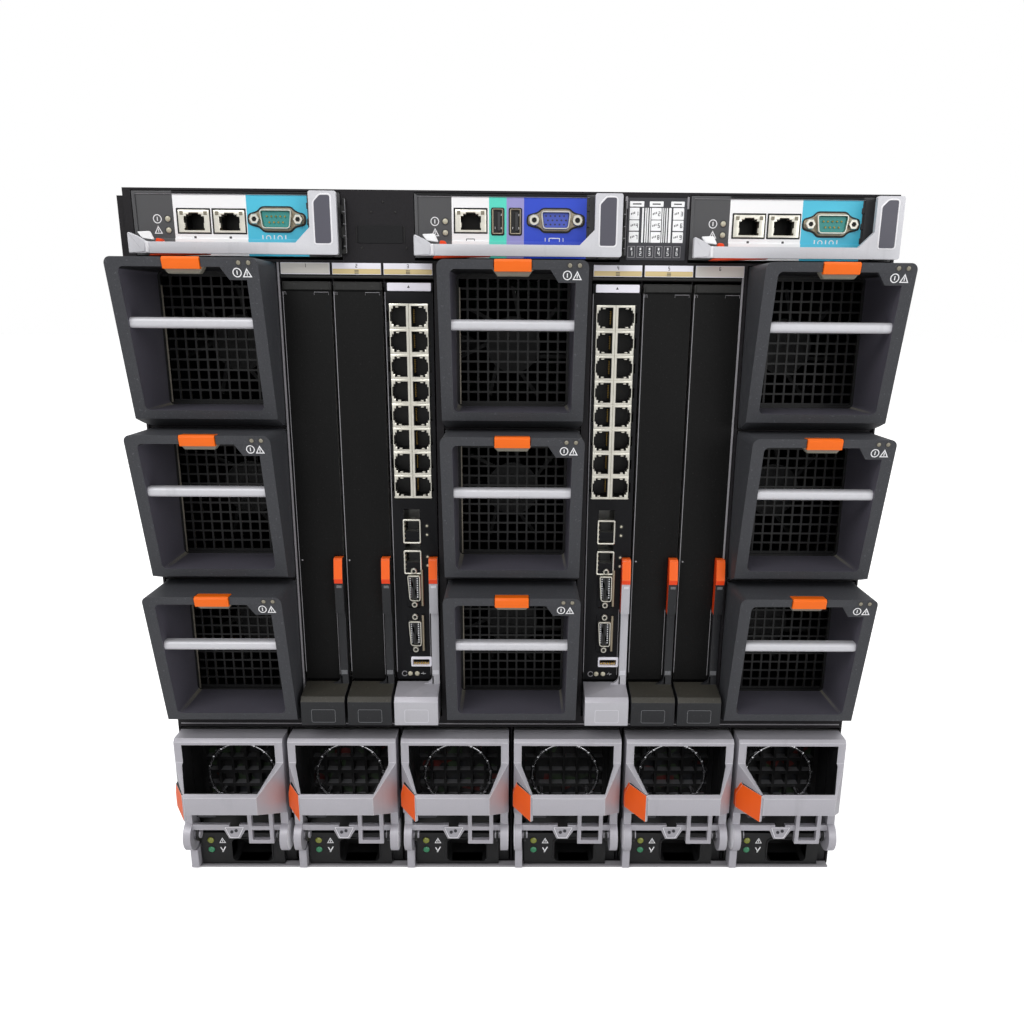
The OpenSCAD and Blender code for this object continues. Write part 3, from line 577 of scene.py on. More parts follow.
def fanRule(centres, normals):
    s = fanSize
    x, y, z = (centres - fanOrigin).T
    nx, ny, nz = normals.T
    names = np.full(len(x), "shroudPlastic", dtype=object)
    names[y > 0.01] = "tubeSteel"
    inTube = (y > s["grille"] + 1.7) & (np.abs(x) < 40.2) & (z > 2.0) & (z < 94.3)
    # the tube's inner walls behind the grille take the dark rotor plastic: painted shade
    names[inTube] = "rotorPlastic"
    inCave = ((np.abs(x) < s["halfOpening"] + 0.05) & (z > s["openingLow"] - 0.05)
              & (z < s["openingTop"] + 0.05) & (y < s["grille"] + 1.7))
    wall = inCave & (np.abs(ny) < 0.5)
    names[wall] = "linerPlastic"
    # the cave's downward faces get the darker liner: painted shade
    names[wall & (nz < -0.6)] = "linerTop"
    names[wall & (nz > 0.6) & (y > 0)] = "throatStrip"
    grille = inCave & (y > s["grille"] - 0.05)
    names[grille] = "grilleBlack"
    # the sideways faces of the vertical grille wires get the pale steel colour: painted highlight
    names[grille & (np.abs(nx) > 0.5) & (np.abs(x) < s["halfOpening"] - 0.3)] = "grilleSteel"
    names[inCave & (x > s["plateX"]) & (z > s["plateZ"]) & (y < fanFace(z) + 2.8)] = "shroudPlastic"
    onWall = (np.abs(nx) > 0.9) & near(np.abs(x), s["halfOpening"])
    bar = near(z, s["barZ"], 3.1) & (y < -19) & (np.abs(x) < 36.9) & ~onWall
    names[bar] = "barPaint"
    return names


def fanExtras():
    # lamps and icons on the corner plate, and the strip round the throat
    s = fanSize
    kit = Kit()
    for x, z in s["lamps"]:
        kit.addKit(sloped(lamp(x, z, 1.2, "lensClear", ring="faceDark")))
    kit.addKit(sloped(ringIcon(*s["ringIcon"], 2.5)))
    kit.addKit(sloped(warnIcon(*s["warnIcon"], 5.2)))
    w, low, top = s["halfOpening"], s["openingLow"], s["openingTop"]
    outer, inner = roundedBox(-w, low, w, top, 3), roundedBox(-w + 1.6, low + 1.2, w - 1.6, top - 1.2, 2)
    kit.add(frameRing(outer, inner, [(0, 19.6), (0, 18.4), (1, 18.4), (1, 19.6)]), "rotorPlastic")
    kit.add(block((-w + 1.6, 17.6, low + 1.2), (-w + 2.6, 18.6, top - 8), 0.2), "grilleSteel")
    return kit


# the bevels on the shroud's front edges get the pale edge finish: a painted highlight with some wear
fanShell = dressedCopy("fan_5", fanRule, bevel=1.0, edgeFinish="shroudEdge",
                       where=lambda p: p[1] < rearY - 0.4)
fanShell.points = [p - fanOrigin for p in fanShell.points]
fanTrim = fanExtras()


def latchRule(centres, normals):
    return np.full(len(centres), "latchOrange", dtype=object)


fanLatch = dressedCopy("fan_latch_5", latchRule, bevel=0.5)
fanLip = np.array([(-12, 92.0), (-8.6, 87.6), (8.6, 87.6), (12, 92.0)])
fanLatch.add(onSlope(plate(fanLip, [(0, 7.4), (0, 2.6), (0.5, 2.0)])), "throatStrip", fanOrigin)
for k in range(1, 10):
    low, high = corners(f"fan_{k}")
    origin = np.array([(low[0] + high[0]) / 2, rearY, low[2] - 0.4])
    kit = Kit().addKit(fanShell, origin).addKit(fanTrim, origin)
    kit.make(f"fan_{k}_module", f"fan_{k}", replaces=[f"fan_{k}"], slot="fan_housing")
    latch = Kit().addKit(fanLatch, origin - fanOrigin)
    latch.make(f"fan_{k}_release", f"fan_latch_{k}", replaces=[f"fan_latch_{k}"], slot="fan_latch_plastic")
print("fan modules dressed")


# power supplies

psuSize = {"ringR": 23.0, "ringZ": 64.0, "beads": 18, "catchLow": 55.5, "catchHeight": 19.0, "pivotY": -8.0,
           "pivotZ": 28.0, "face": -4.0, "lamps": [(-21.7, 20.2, "lensOlive"), (-21.7, 13.0, "lensGreen")],
           "warnIcon": (-13.6, 20.0), "inlet": (-8.2, 3.2, 21.2, 22.4), "catchFlank": (-35.5, -16.0, 0.5104)}
psuLow, psuHigh = corners("psu_1")
psuOrigin = np.array([(psuLow[0] + psuHigh[0]) / 2, rearY, 0.0])


def psuRule(centres, normals):
    s = psuSize
    x, y, z = (centres - psuOrigin).T
    names = np.full(len(x), "psuPlastic", dtype=object)
    names[(y > 25.5) | (np.abs(normals[:, 0]) > 0.9) & (np.abs(x) > 35.3) | (z > 102) | (z < 2)] = "tubeSteel"
    names[near(y, 25, 0.1)] = "psuInside"
    names[(y > 18.2) & (y < 24.9) & (normals[:, 2] > 0.5)] = "psuBar"
    round_ = np.hypot(x, z - s["ringZ"])
    names[(y < 18.5) & (y > 8) & (np.abs(round_ - s["ringR"]) < 2.0)] = "wireChrome"
    names[(x < -29.3) & (y < 0.95) & (z < 17)] = "handlePaint"
    return names


painted("psuBar", srgb(120, 120, 124), metal=0.3, rough=0.4)
inside = Finish("psuInside")
cells = inside.node("TexVoronoi", values={0: inside.place((1, 0.2, 1.4)), "Scale": 1 / (9 * mm)}, out=1)
cellTone = inside.node("ValToRGB", {"interpolation": "CONSTANT", "stops": [
    (0.0, srgb(14, 14, 14)[:3]), (0.42, srgb(40, 58, 34)[:3]), (0.55, srgb(12, 12, 13)[:3]),
    (0.80, srgb(92, 26, 20)[:3]), (0.86, srgb(20, 24, 30)[:3])]},
    {0: inside.node("SeparateColor", values={0: cells})})
inside.set(colour=cellTone, rough=inside.noise(5) * 0.3 + 0.3, normal=inside.bump(inside.noise(1.5), 0.05))
finishes["psuInside"] = inside.material


def psuExtras():
    # weld beads on the wire ring, lamps, icons and the inlet's rim
    s = psuSize
    kit = Kit()
    for t in np.arange(s["beads"]) * 2 * math.pi / s["beads"] + 0.1:
        x, z = s["ringR"] * math.cos(t), s["ringZ"] + s["ringR"] * math.sin(t)
        bead = [(0.3, 8.4), (1.1, 8.7), (1.6, 9.6), (1.6, 10.6), (1.1, 11.4), (0.3, 11.7)]
        kit.add(lathe(bead, x, z, 8), "wireChrome")
    for x, z, key in s["lamps"]:
        kit.addKit(lamp(x, z, 2.3, key), (0, s["face"], 0))
    kit.addKit(warnIcon(*s["warnIcon"], 4.6, 0.45), (0, s["face"], 0))
    for stroke in ([(-15.6, 14.6), (-15.0, 14.9), (-13.2, 11.4), (-13.8, 11.1)],
                   [(-14.6, 11.0), (-12.2, 15.4), (-11.6, 15.0), (-13.8, 10.8)]):
        kit.add(plate(stroke, [(0, s["face"]), (0, s["face"] - 0.1)]), "inkWhite")
    x0, z0, x1, z1 = s["inlet"]
    outer, inner = roundedBox(x0, z0, x1, z1, 4), roundedBox(x0 + 1.2, z0 + 1.2, x1 - 1.2, z1 - 1.0, 3)
    kit.add(frameRing(outer, inner, [(0, -4), (0.2, -4.7), (0.8, -4.8), (1, -4.3), (1, 6)]), "psuPlastic")
    return kit


psuShell = dressedCopy("psu_1", psuRule, bevel=0.45, where=lambda p: p[1] < rearY + 6)
psuShell.points = [p - psuOrigin for p in psuShell.points]
psuTrim = psuExtras()


def handleRule(centres, normals):
    s = psuSize
    x, y, z = (centres - psuOrigin).T
    names = np.full(len(x), "handlePaint", dtype=object)
    nx, ny, nz = normals.T
    facesIn = (nz > 0.3) & (z < 75) | (nz < -0.3) & (z > 90) | (ny > 0.5) & (y < -1)
    inner = (x * nx < -0.1) | (np.abs(nx) < 0.1) & facesIn
    names[inner & (np.abs(x) < 30.6) & (y > -36.5) & (z > 50.5) & (z < 98.6)] = "psuPlastic"
    side, turn, slope = s["catchFlank"]
    flank = side + (turn - y) * slope
    inHeight = (z > s["catchLow"] - 0.1) & (z < s["catchLow"] + s["catchHeight"] + 0.1)
    names[inHeight & (x < 0) & ((x < flank - 0.15) | (y > turn) & (x < side - 0.02))] = "catchOrange"
    return names


def handleTrim(s=psuSize):
    # nested discs over each pivot, studs on the strap hook and a dark stop at the slot's top
    kit = Kit()
    # the pivot discs and the hook's rim are in the bright edge finish: painted highlights
    for side in (-1, 1):
        for r, out in ((10.4, 0.2), (8.2, 0.34), (5.6, 0.46)):
            disk = lathe([(r, 0), (r, out), (r - 0.5, out + 0.05), (0.4, out + 0.05)], 0, 0, 28)
            pts = np.stack([side * (35.0 + disk[0][:, 1]), s["pivotY"] + disk[0][:, 0],
                            s["pivotZ"] + disk[0][:, 2]], 1)
            kit.add((pts, disk[1] if side < 0 else [f[::-1] for f in disk[1]]), "handleEdge")
    hook = softCorners([(-8.6, 35.8), (-5.3, 27.2), (0.8, 27.2), (5.0, 35.8)], 1.0)
    kit.add(plate(hook, [(0, -11.9), (0, -12.3), (0.5, -12.6)]), "handlePaint")
    kit.add(frameRing(hook, inward(hook, 0.7), [(0, -12.2), (0.3, -12.75), (0.7, -12.75), (1, -12.5)]),
            "handleEdge")
    for x, z in ((-3.6, 32.0), (-0.6, 33.0)):
        kit.add(lathe([(1.1, -12.4), (1.1, -13.1), (0.7, -13.5), (0.2, -13.6)], x, z, 12), "plateDark")
    kit.add(block((-25.5, -13.6, 43.4), (-13.5, -10.5, 46.6), 0.5), "plateDark")
    return kit


# the handle's bevelled edges get the bright edge finish: painted highlight
psuHandle = dressedCopy("psu_handle_1", handleRule, bevel=0.8, edgeFinish="handleEdge",
                        where=lambda p: p[1] < rearY - 2)
psuHandle.points = [p - psuOrigin for p in psuHandle.points]
psuHandleTrim = handleTrim()
for k in range(1, 7):
    low, high = corners(f"psu_{k}")
    origin = np.array([(low[0] + high[0]) / 2, rearY, 0.0])
    Kit().addKit(psuShell, origin).addKit(psuTrim, origin).make(
        f"psu_{k}_unit", f"psu_{k}", replaces=[f"psu_{k}"], slot="psu_case")
    Kit().addKit(psuHandle, origin).addKit(psuHandleTrim, origin).make(
        f"psu_{k}_handle", f"psu_handle_{k}", replaces=[f"psu_handle_{k}"], slot="psu_handle_paint")
print("power supplies dressed")


# I/O modules

ioSize = {"faceTop": 389.7, "seamZ": 384.5, "footZ": 139.25, "armRight": 14.0, "notchTop": 223.35,
          "jackTop": 7.5,
          "jackPitch": 14.6, "jackX": (-6.9, 6.1), "cages": [(234.25, 14.2), (214.05, 14.2)],
          "sockets": [202.4, 171.6],
          "console": (-4.0, 148.85, 12.0, 5.0), "lampZ": 143.0, "latchLow": 206.7}
ioLow, ioHigh = corners("io_blank_1")
ioOrigin = np.array([(ioLow[0] + ioHigh[0]) / 2, rearY, 0.0])

# one jack, its notch towards +x: the opening's outline and the same count of points round its shield
jackHole = np.array([(-4.85, -5.9), (2.65, -5.9), (2.65, -4.4), (3.6, -4.4), (3.6, -2.7), (4.5, -2.7),
                     (4.5, 2.7),
                     (3.6, 2.7), (3.6, 4.4), (2.65, 4.4), (2.65, 5.9), (-4.85, 5.9)])


def jackShield(low, high, half):
    # the shield of one jack: a steel frame whose inner edge turns into the opening
    outer = np.array([(low, -half), (2.65, -half), (3.2, -half), (high, -half), (high, -4.0), (high, -2.7),
                      (high, 2.7), (high, 4.0), (high, half), (3.2, half), (2.65, half), (low, half)])
    return frameRing(outer, jackHole, [(0, 0.3), (0, -0.4), (0.12, -0.55), (0.88, -0.55), (1, -0.35), (1, 5)])


def flipped(shape):
    # mirrored in x, with its faces turned to match
    points, faces = shape
    return np.asarray(points) * (-1, 1, 1), [f[::-1] for f in faces]


def upright(shape):
    # turned a quarter about the line of sight, so that what pointed to +x points up
    points, faces = shape
    points = np.asarray(points)
    return np.stack([-points[:, 2], points[:, 1], points[:, 0]], 1), faces


digitBars = {0: "abcdef", 1: "bc", 2: "abged", 3: "abgcd", 4: "fgbc", 5: "afgcd", 6: "afgedc", 7: "abc",
             8: "abcdefg", 9: "abcdfg"}


def digit(number, x, z, height, y=-0.1, key="inkDark"):
    # a plain numeral of straight bars
    kit = Kit()
    w, h, t = height * 0.5, height, height * 0.14
    bars = {"a": (0, h - t, w, h), "g": (0, (h - t) / 2, w, (h + t) / 2), "d": (0, 0, w, t),
            "f": (0, h / 2, t, h),
            "e": (0, 0, t, h / 2), "b": (w - t, h / 2, w, h), "c": (w - t, 0, w, h / 2)}
    for bar in digitBars[number]:
        x0, z0, x1, z1 = bars[bar]
        kit.add(plate(roundedBox(x + x0 - w / 2, z + z0 - h / 2, x + x1 - w / 2, z + z1 - h / 2, t * 0.3, 1),
                      [(0, y + 0.1), (0, y)]), key)
    return kit


def card(x0, z0, x1, z1, key, y=-0.12, r=0.25, back=0.02):
    # a thin printed field with round corners
    return Kit().add(plate(roundedBox(x0, z0, x1, z1, r, 2), [(0, back), (0, y + 0.04), (0.05, y)]), key)


def ioRule(face):
    def rule(centres, normals):
        x, y, z = (centres - ioOrigin).T
        names = np.full(len(x), face, dtype=object)
        names[z > ioSize["seamZ"] + 0.4] = "blankBand" if face == "blankPlastic" else "switchFace"
        names[(y > 8.4) | (np.abs(normals[:, 0]) > 0.9) & (np.abs(x) > 14.1) & (y > 3)] = "tubeSteel"
        names[(y > 0.9) & (y < 14) & (np.abs(x) < 13.9) & (z > ioSize["footZ"])] = "jackPlastic"
        return names
    return rule


def ioTrim(isSwitch):
    # painted highlights: a pale line along the left edge, a pale strip beside the arm's notch and fine pale lines
    # under the head band
    s = ioSize
    kit = Kit()
    kit.add(block((-14.25, -0.12, s["footZ"] + 5), (-13.8, 0.3, s["seamZ"] - 0.4), 0.1), "edgeLight")
    kit.add(block((7.9, -0.12, s["footZ"] + 3), (8.25, 0.3, 188), 0.1), "edgeLight")
    if not isSwitch:
        kit.add(block((-13.2, -0.5, s["seamZ"] + 0.5), (13.4, 0.3, s["faceTop"] - 0.4), 0.3), "blankBand")
        for x0, x1 in ((-13.4, -12.2), (4.4, 12.8)):
            line = [(x0, -0.1, 382.2), (x0, -0.1, 383.7), (x1, -0.1, 383.7), (x1, -0.1, 382.2)]
            kit.add(tube(line, 0.16, 6), "edgeLight")
        kit.add(lathe([(0.55, 0.1), (0.55, -0.2), (0.2, -0.34)], -12.2, s["notchTop"] - 3, 12), "edgeLight")
    return kit


def jackBlock():
    s = ioSize
    kit = Kit()
    right, left = jackShield(-6.5, 5.0, 7.3), flipped(jackShield(-6.5, 5.0, 7.3))
    for row in range(8):
        z = s["faceTop"] - s["jackTop"] - (row + 0.5) * s["jackPitch"] - 4.6
        kit.add(left, "jackSteel", (s["jackX"][0], 0, z))
        kit.add(right, "jackSteel", (s["jackX"][1], 0, z))
        for x, side in ((s["jackX"][0], -1), (s["jackX"][1], 1)):
            # contact springs at the side away from the notch, and the shield's two small springs
            for k in range(8):
                kit.add(block((x - side * 4.2 - 0.3, 6.5, z - 3.6 + k * 1.02),
                              (x - side * 4.2 + 0.3, 11.0, z - 3.2 + k * 1.02)), "gold")
            for dz in (-5.4, 5.4):
                kit.add(block((x + side * 0.4 - 0.9, -0.3, z + dz - 0.35),
                              (x + side * 0.4 + 0.9, 3.0, z + dz + 0.35), 0.1), "jackSteel")
    low = s["faceTop"] - s["jackTop"] - 8 * s["jackPitch"] - 4.6
    kit.add(block((-12.4, -0.5, low + 0.2), (11.4, 0.2, low + 0.9), 0.15), "jackSteel")
    return kit


def cageFrame(x0, z0, w, h):
    # a transceiver cage: its steel rim, its spring fingers and the dark flap inside
    kit = Kit()
    outer = roundedBox(x0 - 0.7, z0 - 0.7, x0 + w + 0.7, z0 + h + 0.7, 1.0)
    inner = roundedBox(x0 + 0.2, z0 + 0.2, x0 + w - 0.2, z0 + h - 0.2, 0.6)
    kit.add(frameRing(outer, inner, [(0, 0.3), (0, -0.7), (0.3, -0.9), (1, -0.7), (1, 8)]), "jackSteel")
    for k in range(4):
        kit.add(block((x0 + 0.1, -0.1, z0 + 2.0 + k * 3.0), (x0 + 0.9, 4.0, z0 + 3.2 + k * 3.0), 0.15),
                "flangeSteel")
    kit.add(block((x0 + 1.6, 6.0, z0 + 1.0), (x0 + w - 1.2, 7.0, z0 + h - 1.0), 0.3), "jackPlastic")
    return kit


def jackScrew(x, z, r=2.0, y=0.0):
    # a round screw post with a threaded hole
    kit = Kit()
    kit.add(lathe([(r, y + 0.2), (r, y - 1.6), (r - 0.35, y - 2.0), (r - 0.8, y - 2.0), (r - 1.0, y - 1.6),
                   (r - 1.0, y + 0.1)], x, z, 16), "jackSteel")
    kit.add(lathe([(r - 0.7, y + 0.1), (r - 0.7, y - 0.5), (0.1, y - 0.5)], x, z, 12), "jackPlastic")
    return kit


def stackSocket(z):
    # a multi-pin socket: a filler, a bent flange, a tapered steel shell, two rows of contacts and a slot
    kit = Kit()
    kit.add(plate(softCorners([(-6.4, z - 13), (3.6, z - 13), (3.6, z + 13), (-6.4, z + 13)], 1),
                  [(0, 0.3), (0, -0.15), (0.2, -0.3)]), "switchFace")
    kit.add(block((3.0, -1.7, z - 12.2), (4.6, 0.2, z + 12.2), 0.3), "flangeSteel")
    shell = softCorners([(-5.6, z + 8.6), (-4.6, z - 7.2), (-3.2, z - 8.6), (2.2, z - 8.6), (2.9, z - 7.2),
                         (2.9, z + 8.6)], 1.2)
    shell = shell if np.cross(shell[1] - shell[0], shell[5] - shell[0]) > 0 else shell[::-1]
    kit.add(frameRing(shell, inward(shell, 0.9), [(0, 0.2), (0, -2.6), (0.3, -3.0), (0.8, -3.0), (1, -2.6),
                                                  (1, -0.4)]), "jackSteel")
    kit.add(plate(inward(shell, 1.1), [(0, -0.2), (0, -1.5), (0.3, -1.7)]), "faceDark")
    kit.add(block((-1.9, -2.6, z - 6.6), (-0.6, -0.5, z + 7.0), 0.2), "jackPlastic")
    for k in range(9):
        for x in (-3.7, 0.9):
            kit.add(block((x - 0.5, -2.4, z - 6.2 + k * 1.55), (x + 0.5, -1.6, z - 5.4 + k * 1.55), 0.12),
                    "wireChrome")
    return kit.addKit(jackScrew(-1.3, z + 11.2)).addKit(jackScrew(-1.3, z - 11.2))


def switchTrim():
    s = ioSize
    kit = ioTrim(True).addKit(jackBlock())
    kit.add(plate(roundedBox(-12.6, s["seamZ"] + 0.2, 13.2, s["faceTop"] - 0.4, 0.5),
                  [(0, 0.3), (0, -0.5), (0.3, -0.7)]), "labelWhite")
    kit.add(plate([(-0.8, 386.5), (0.8, 386.5), (0, 387.9)], [(0, -0.6), (0, -0.8)]), "inkDark")
    for z, h in s["cages"]:
        kit.addKit(cageFrame(-6.9, z - h / 2 + 12.3 - 7.1, 10.0, h))
        for dz in (3.6, -2.2):
            kit.addKit(lamp(7.6, z + 5.2 + dz, 0.8, "lensBeige", ring="jackPlastic"))
    for z in s["sockets"]:
        kit.addKit(stackSocket(z))
    x, z, w, h = s["console"]
    outer = roundedBox(x - 0.6, z - 0.6, x + w + 0.8, z + h + 1.2, 0.8)
    inner = roundedBox(x + 0.4, z + 0.3, x + w - 0.6, z + h - 0.6, 0.4)
    kit.add(frameRing(outer, inner, [(0, 0.3), (0, -0.9), (0.3, -1.1), (0.9, -1.0), (1, -0.8), (1, 6)]),
            "labelWhite")
    for k in range(7):
        kit.add(block((x + 1.2 + k * 1.45, 0.2, z + 0.9), (x + 2.0 + k * 1.45, 3.0, z + 1.9), 0.1), "gold")
    ring = disc(-9.2, s["lampZ"], 1.9, 20)
    kit.add(frameRing(ring, disc(-9.2, s["lampZ"], 1.45, 20), [(0, 0), (0, -0.1), (1, -0.1), (1, 0)]),
            "edgeLight")
    for lampX in (-5.5, -1.0):
        kit.addKit(lamp(lampX, s["lampZ"], 1.6, "lensBeige", ring="switchFace"))
    pulse = [(1.6, -0.1, 143.0), (2.5, -0.1, 143.0), (2.9, -0.1, 144.2), (3.3, -0.1, 142.4),
             (3.7, -0.1, 143.0), (4.6, -0.1, 143.0)]
    kit.add(tube(pulse, 0.14, 6), "inkWhite")
    return kit


def leverRule(body, top):
    def rule(centres, normals):
        x, y, z = (centres - ioOrigin).T
        names = np.full(len(x), body, dtype=object)
        names[(normals[:, 2] > 0.3) & (z > 128) & (z < 140) & (y < -0.5)] = top
        names[z > ioSize["latchLow"]] = "leverOrange"
        # the latch's front above its lowest 3.1 mm gets the paler orange: painted highlight
        names[(z > ioSize["latchLow"] + 3.1) & (y < -0.5)] = "leverOrangePale"
        return names
    return rule


def leverTrim(body, rim):
    # the round inner corner between arm and grip, the recessed field on the grip and the latch's mark
    kit = Kit()
    turns = np.linspace(0, math.pi / 2, 8)
    arc = [(9.3 - 5.2 * (1 - math.cos(t)), 137.2 + 5.2 * (1 - math.sin(t))) for t in turns]
    arc = arc[::-1] + [(9.9, 142.4), (9.9, 136.6), (4.1, 136.6)]
    kit.add(plate(arc, [(0, -0.3), (0, -2.7), (0.2, -3.0)]), body)
    outer = roundedBox(-7.6, 117.2, 8.0, 126.4, 1.2)
    # the recessed field's edge ring and the two small blocks take the rim finish: painted highlights
    kit.add(frameRing(outer, inward(outer, 0.4), [(0, -20.9), (0.2, -21.08), (0.8, -21.08), (1, -20.9)]), rim)
    kit.add(plate([(10.2, 217.0), (12.4, 217.0), (11.3, 218.9)], [(0, -5.4), (0, -5.62)]), "inkDark")
    kit.add(block((9.5, -3.25, 143.5), (13.6, -2.9, 146.5), 0.2), rim)
    kit.add(block((9.8, -6.5, 203.6), (13.2, -5.9, 205.4), 0.2), rim)
    return kit


leverKits = {}
for style, node, body, top, rim in (("black", "io_lever_1", "leverBlack", "leverDusty", "leverRim"),
                                    ("silver", "io_lever_3", "leverSilver", "handlePaint", "leverSilverRim")):
    shift = np.array([corners(node)[0][0] + ioSize["armRight"] - ioOrigin[0], 0, 0])
    rule = leverRule(body, top)
    # the lever's bevelled edges take the rim finish: painted highlight
    copy = dressedCopy(node, lambda c, n, rule=rule, shift=shift: rule(c - shift, n), bevel=0.7,
                       edgeFinish=rim)
    copy.points = [q - ioOrigin - shift for q in copy.points]
    leverKits[style] = copy.addKit(leverTrim(body, rim))
ioKits = {}
for style, node, face in (("blank", "io_blank_1", "blankPlastic"), ("switch", "io_switch_3", "switchFace")):
    shift = np.array([(corners(node)[0][0] + corners(node)[1][0]) / 2 - ioOrigin[0], 0, 0])
    rule = ioRule(face)
    copy = dressedCopy(node, lambda c, n, rule=rule, shift=shift: rule(c - shift, n), bevel=0.35,
                       where=lambda q: q[1] < rearY + 0.5)
    copy.points = [q - ioOrigin - shift for q in copy.points]
    ioKits[style] = copy.addKit(switchTrim() if style == "switch" else ioTrim(False))
for k in range(1, 7):
    style = "switch" if k in (3, 4) else "blank"
    node = f"io_{style}_{k}"
    low, high = corners(node)
    origin = np.array([(low[0] + high[0]) / 2, rearY, 0.0])
    Kit().addKit(ioKits[style], origin).make(f"io_{k}_unit", node, replaces=[node],
                                             slot="switch_case" if style == "switch" else "io_blank_case")
    Kit().addKit(leverKits["silver" if style == "switch" else "black"], origin).make(
        f"io_{k}_lever", f"io_lever_{k}", replaces=[f"io_lever_{k}"],
        slot="lever_silver" if style == "switch" else "lever_black")
print("I/O modules dressed")


# management modules

mgmtSize = {"z": 403.35, "fieldTop": 33.55, "fieldRight": 101.0, "out": 12.5}
zones = {"mgmt": [(22.9, "faceGrey"), (65.0, "faceWhite"), (99.9, "faceTeal"), (200, "faceDark")],
         "kvm": [(21.4, "faceGrey"), (43.0, "faceWhite"), (53.1, "faceMint"), (63.2, "faceLavender"),
                 (99.4, "faceBlue"), (200, "faceDark")]}


def mgmtRule(style, left):
    def rule(centres, normals):
        x, y, z = (centres - np.array([left, rearY, mgmtSize["z"]])).T
        names = np.full(len(x), "faceGrey", dtype=object)
        start = -10
        for end, key in zones[style]:
            names[(x > start) & (x <= end) & (y < 0.95) & (z > 4)] = key
            start = end
        names[(y > 1) & (y < 30)] = "jackPlastic"
        atSide = (np.abs(normals[:, 0]) > 0.9) & ((x < 0.1) | (x > 118.9))
        names[(y >= 30) | atSide | (z < 0.1) | (z > 34.9) & (y > 1)] = "tubeSteel"
        names[(x > mgmtSize["fieldRight"]) & (y < 1)] = "faceDark"
        names[(z > mgmtSize["fieldTop"] + 0.05) & (y < 0.5)] = "cagePaint"
        return names
    return rule


def wallJack(x, z):
    # an upright jack in its shield, with a painted shadow ring round it, two light windows and contact springs
    kit = Kit()
    # a thin dark ring round the shield: painted shadow
    kit.add(frameRing(roundedBox(x - 9.9, z - 6.9, x + 9.7, z + 7.1, 0.4),
                      roundedBox(x - 9.0, z - 6.0, x + 8.8, z + 6.2, 0.3),
                      [(0, 0.9), (0, 0.68), (1, 0.68), (1, 0.9)]), "jackPlastic")
    kit.add(upright(jackShield(-6.1, 6.1, 8.9)), "jackSteel", (x, 0.8, z))
    for side in (-1, 1):
        kit.add(block((x + side * 6.9 - 1.0, -0.1, z + 3.4), (x + side * 6.9 + 1.0, 0.3, z + 5.4), 0.2),
                "lensClear")
        kit.add(block((x + side * 5.7 - 0.35, 1.0, z - 3.6), (x + side * 5.7 + 0.35, 4.0, z - 0.8), 0.1),
                "jackSteel")
    for k in range(8):
        kit.add(block((x - 3.8 + k * 1.02, 9.0, z - 4.5), (x - 3.4 + k * 1.02, 14.0, z - 4.1)), "gold")
    return kit


def usbSocket(x, z, w=6.0, h=13.4):
    kit = Kit()
    gap = roundedBox(x - w / 2 - 0.9, z - h / 2 - 0.9, x + w / 2 + 0.9, z + h / 2 + 0.9, 1.1)
    shell = roundedBox(x - w / 2 - 0.2, z - h / 2 - 0.2, x + w / 2 + 0.2, z + h / 2 + 0.2, 0.8)
    # a thin dark plate round the shell: painted shadow
    kit.add(plate(gap, [(0, 0.9), (0, 0.66)]), "jackPlastic")
    kit.add(frameRing(shell, inward(shell, 0.65), [(0, 0.9), (0, -0.2), (0.4, -0.4), (1, -0.2), (1, 8)]),
            "flangeSteel")
    kit.add(plate(inward(shell, 0.65), [(0, 0.9), (0, 0.6)]), "jackPlastic")
    kit.add(block((x - 0.2, -0.1, z - h / 2 + 1.6), (x + 1.6, 0.6, z + h / 2 - 1.6), 0.25), "faceDark")
    for dz in (-3.6, 3.6):
        kit.add(block((x + 1.8, -0.2, z + dz - 0.7), (x + 2.3, 0.5, z + dz + 0.7), 0.12), "wireChrome")
    kit.add(block((x - 1.7, -0.15, z - 4.2), (x - 1.3, 0.5, z - 2.8), 0.1), "wireChrome")
    return kit


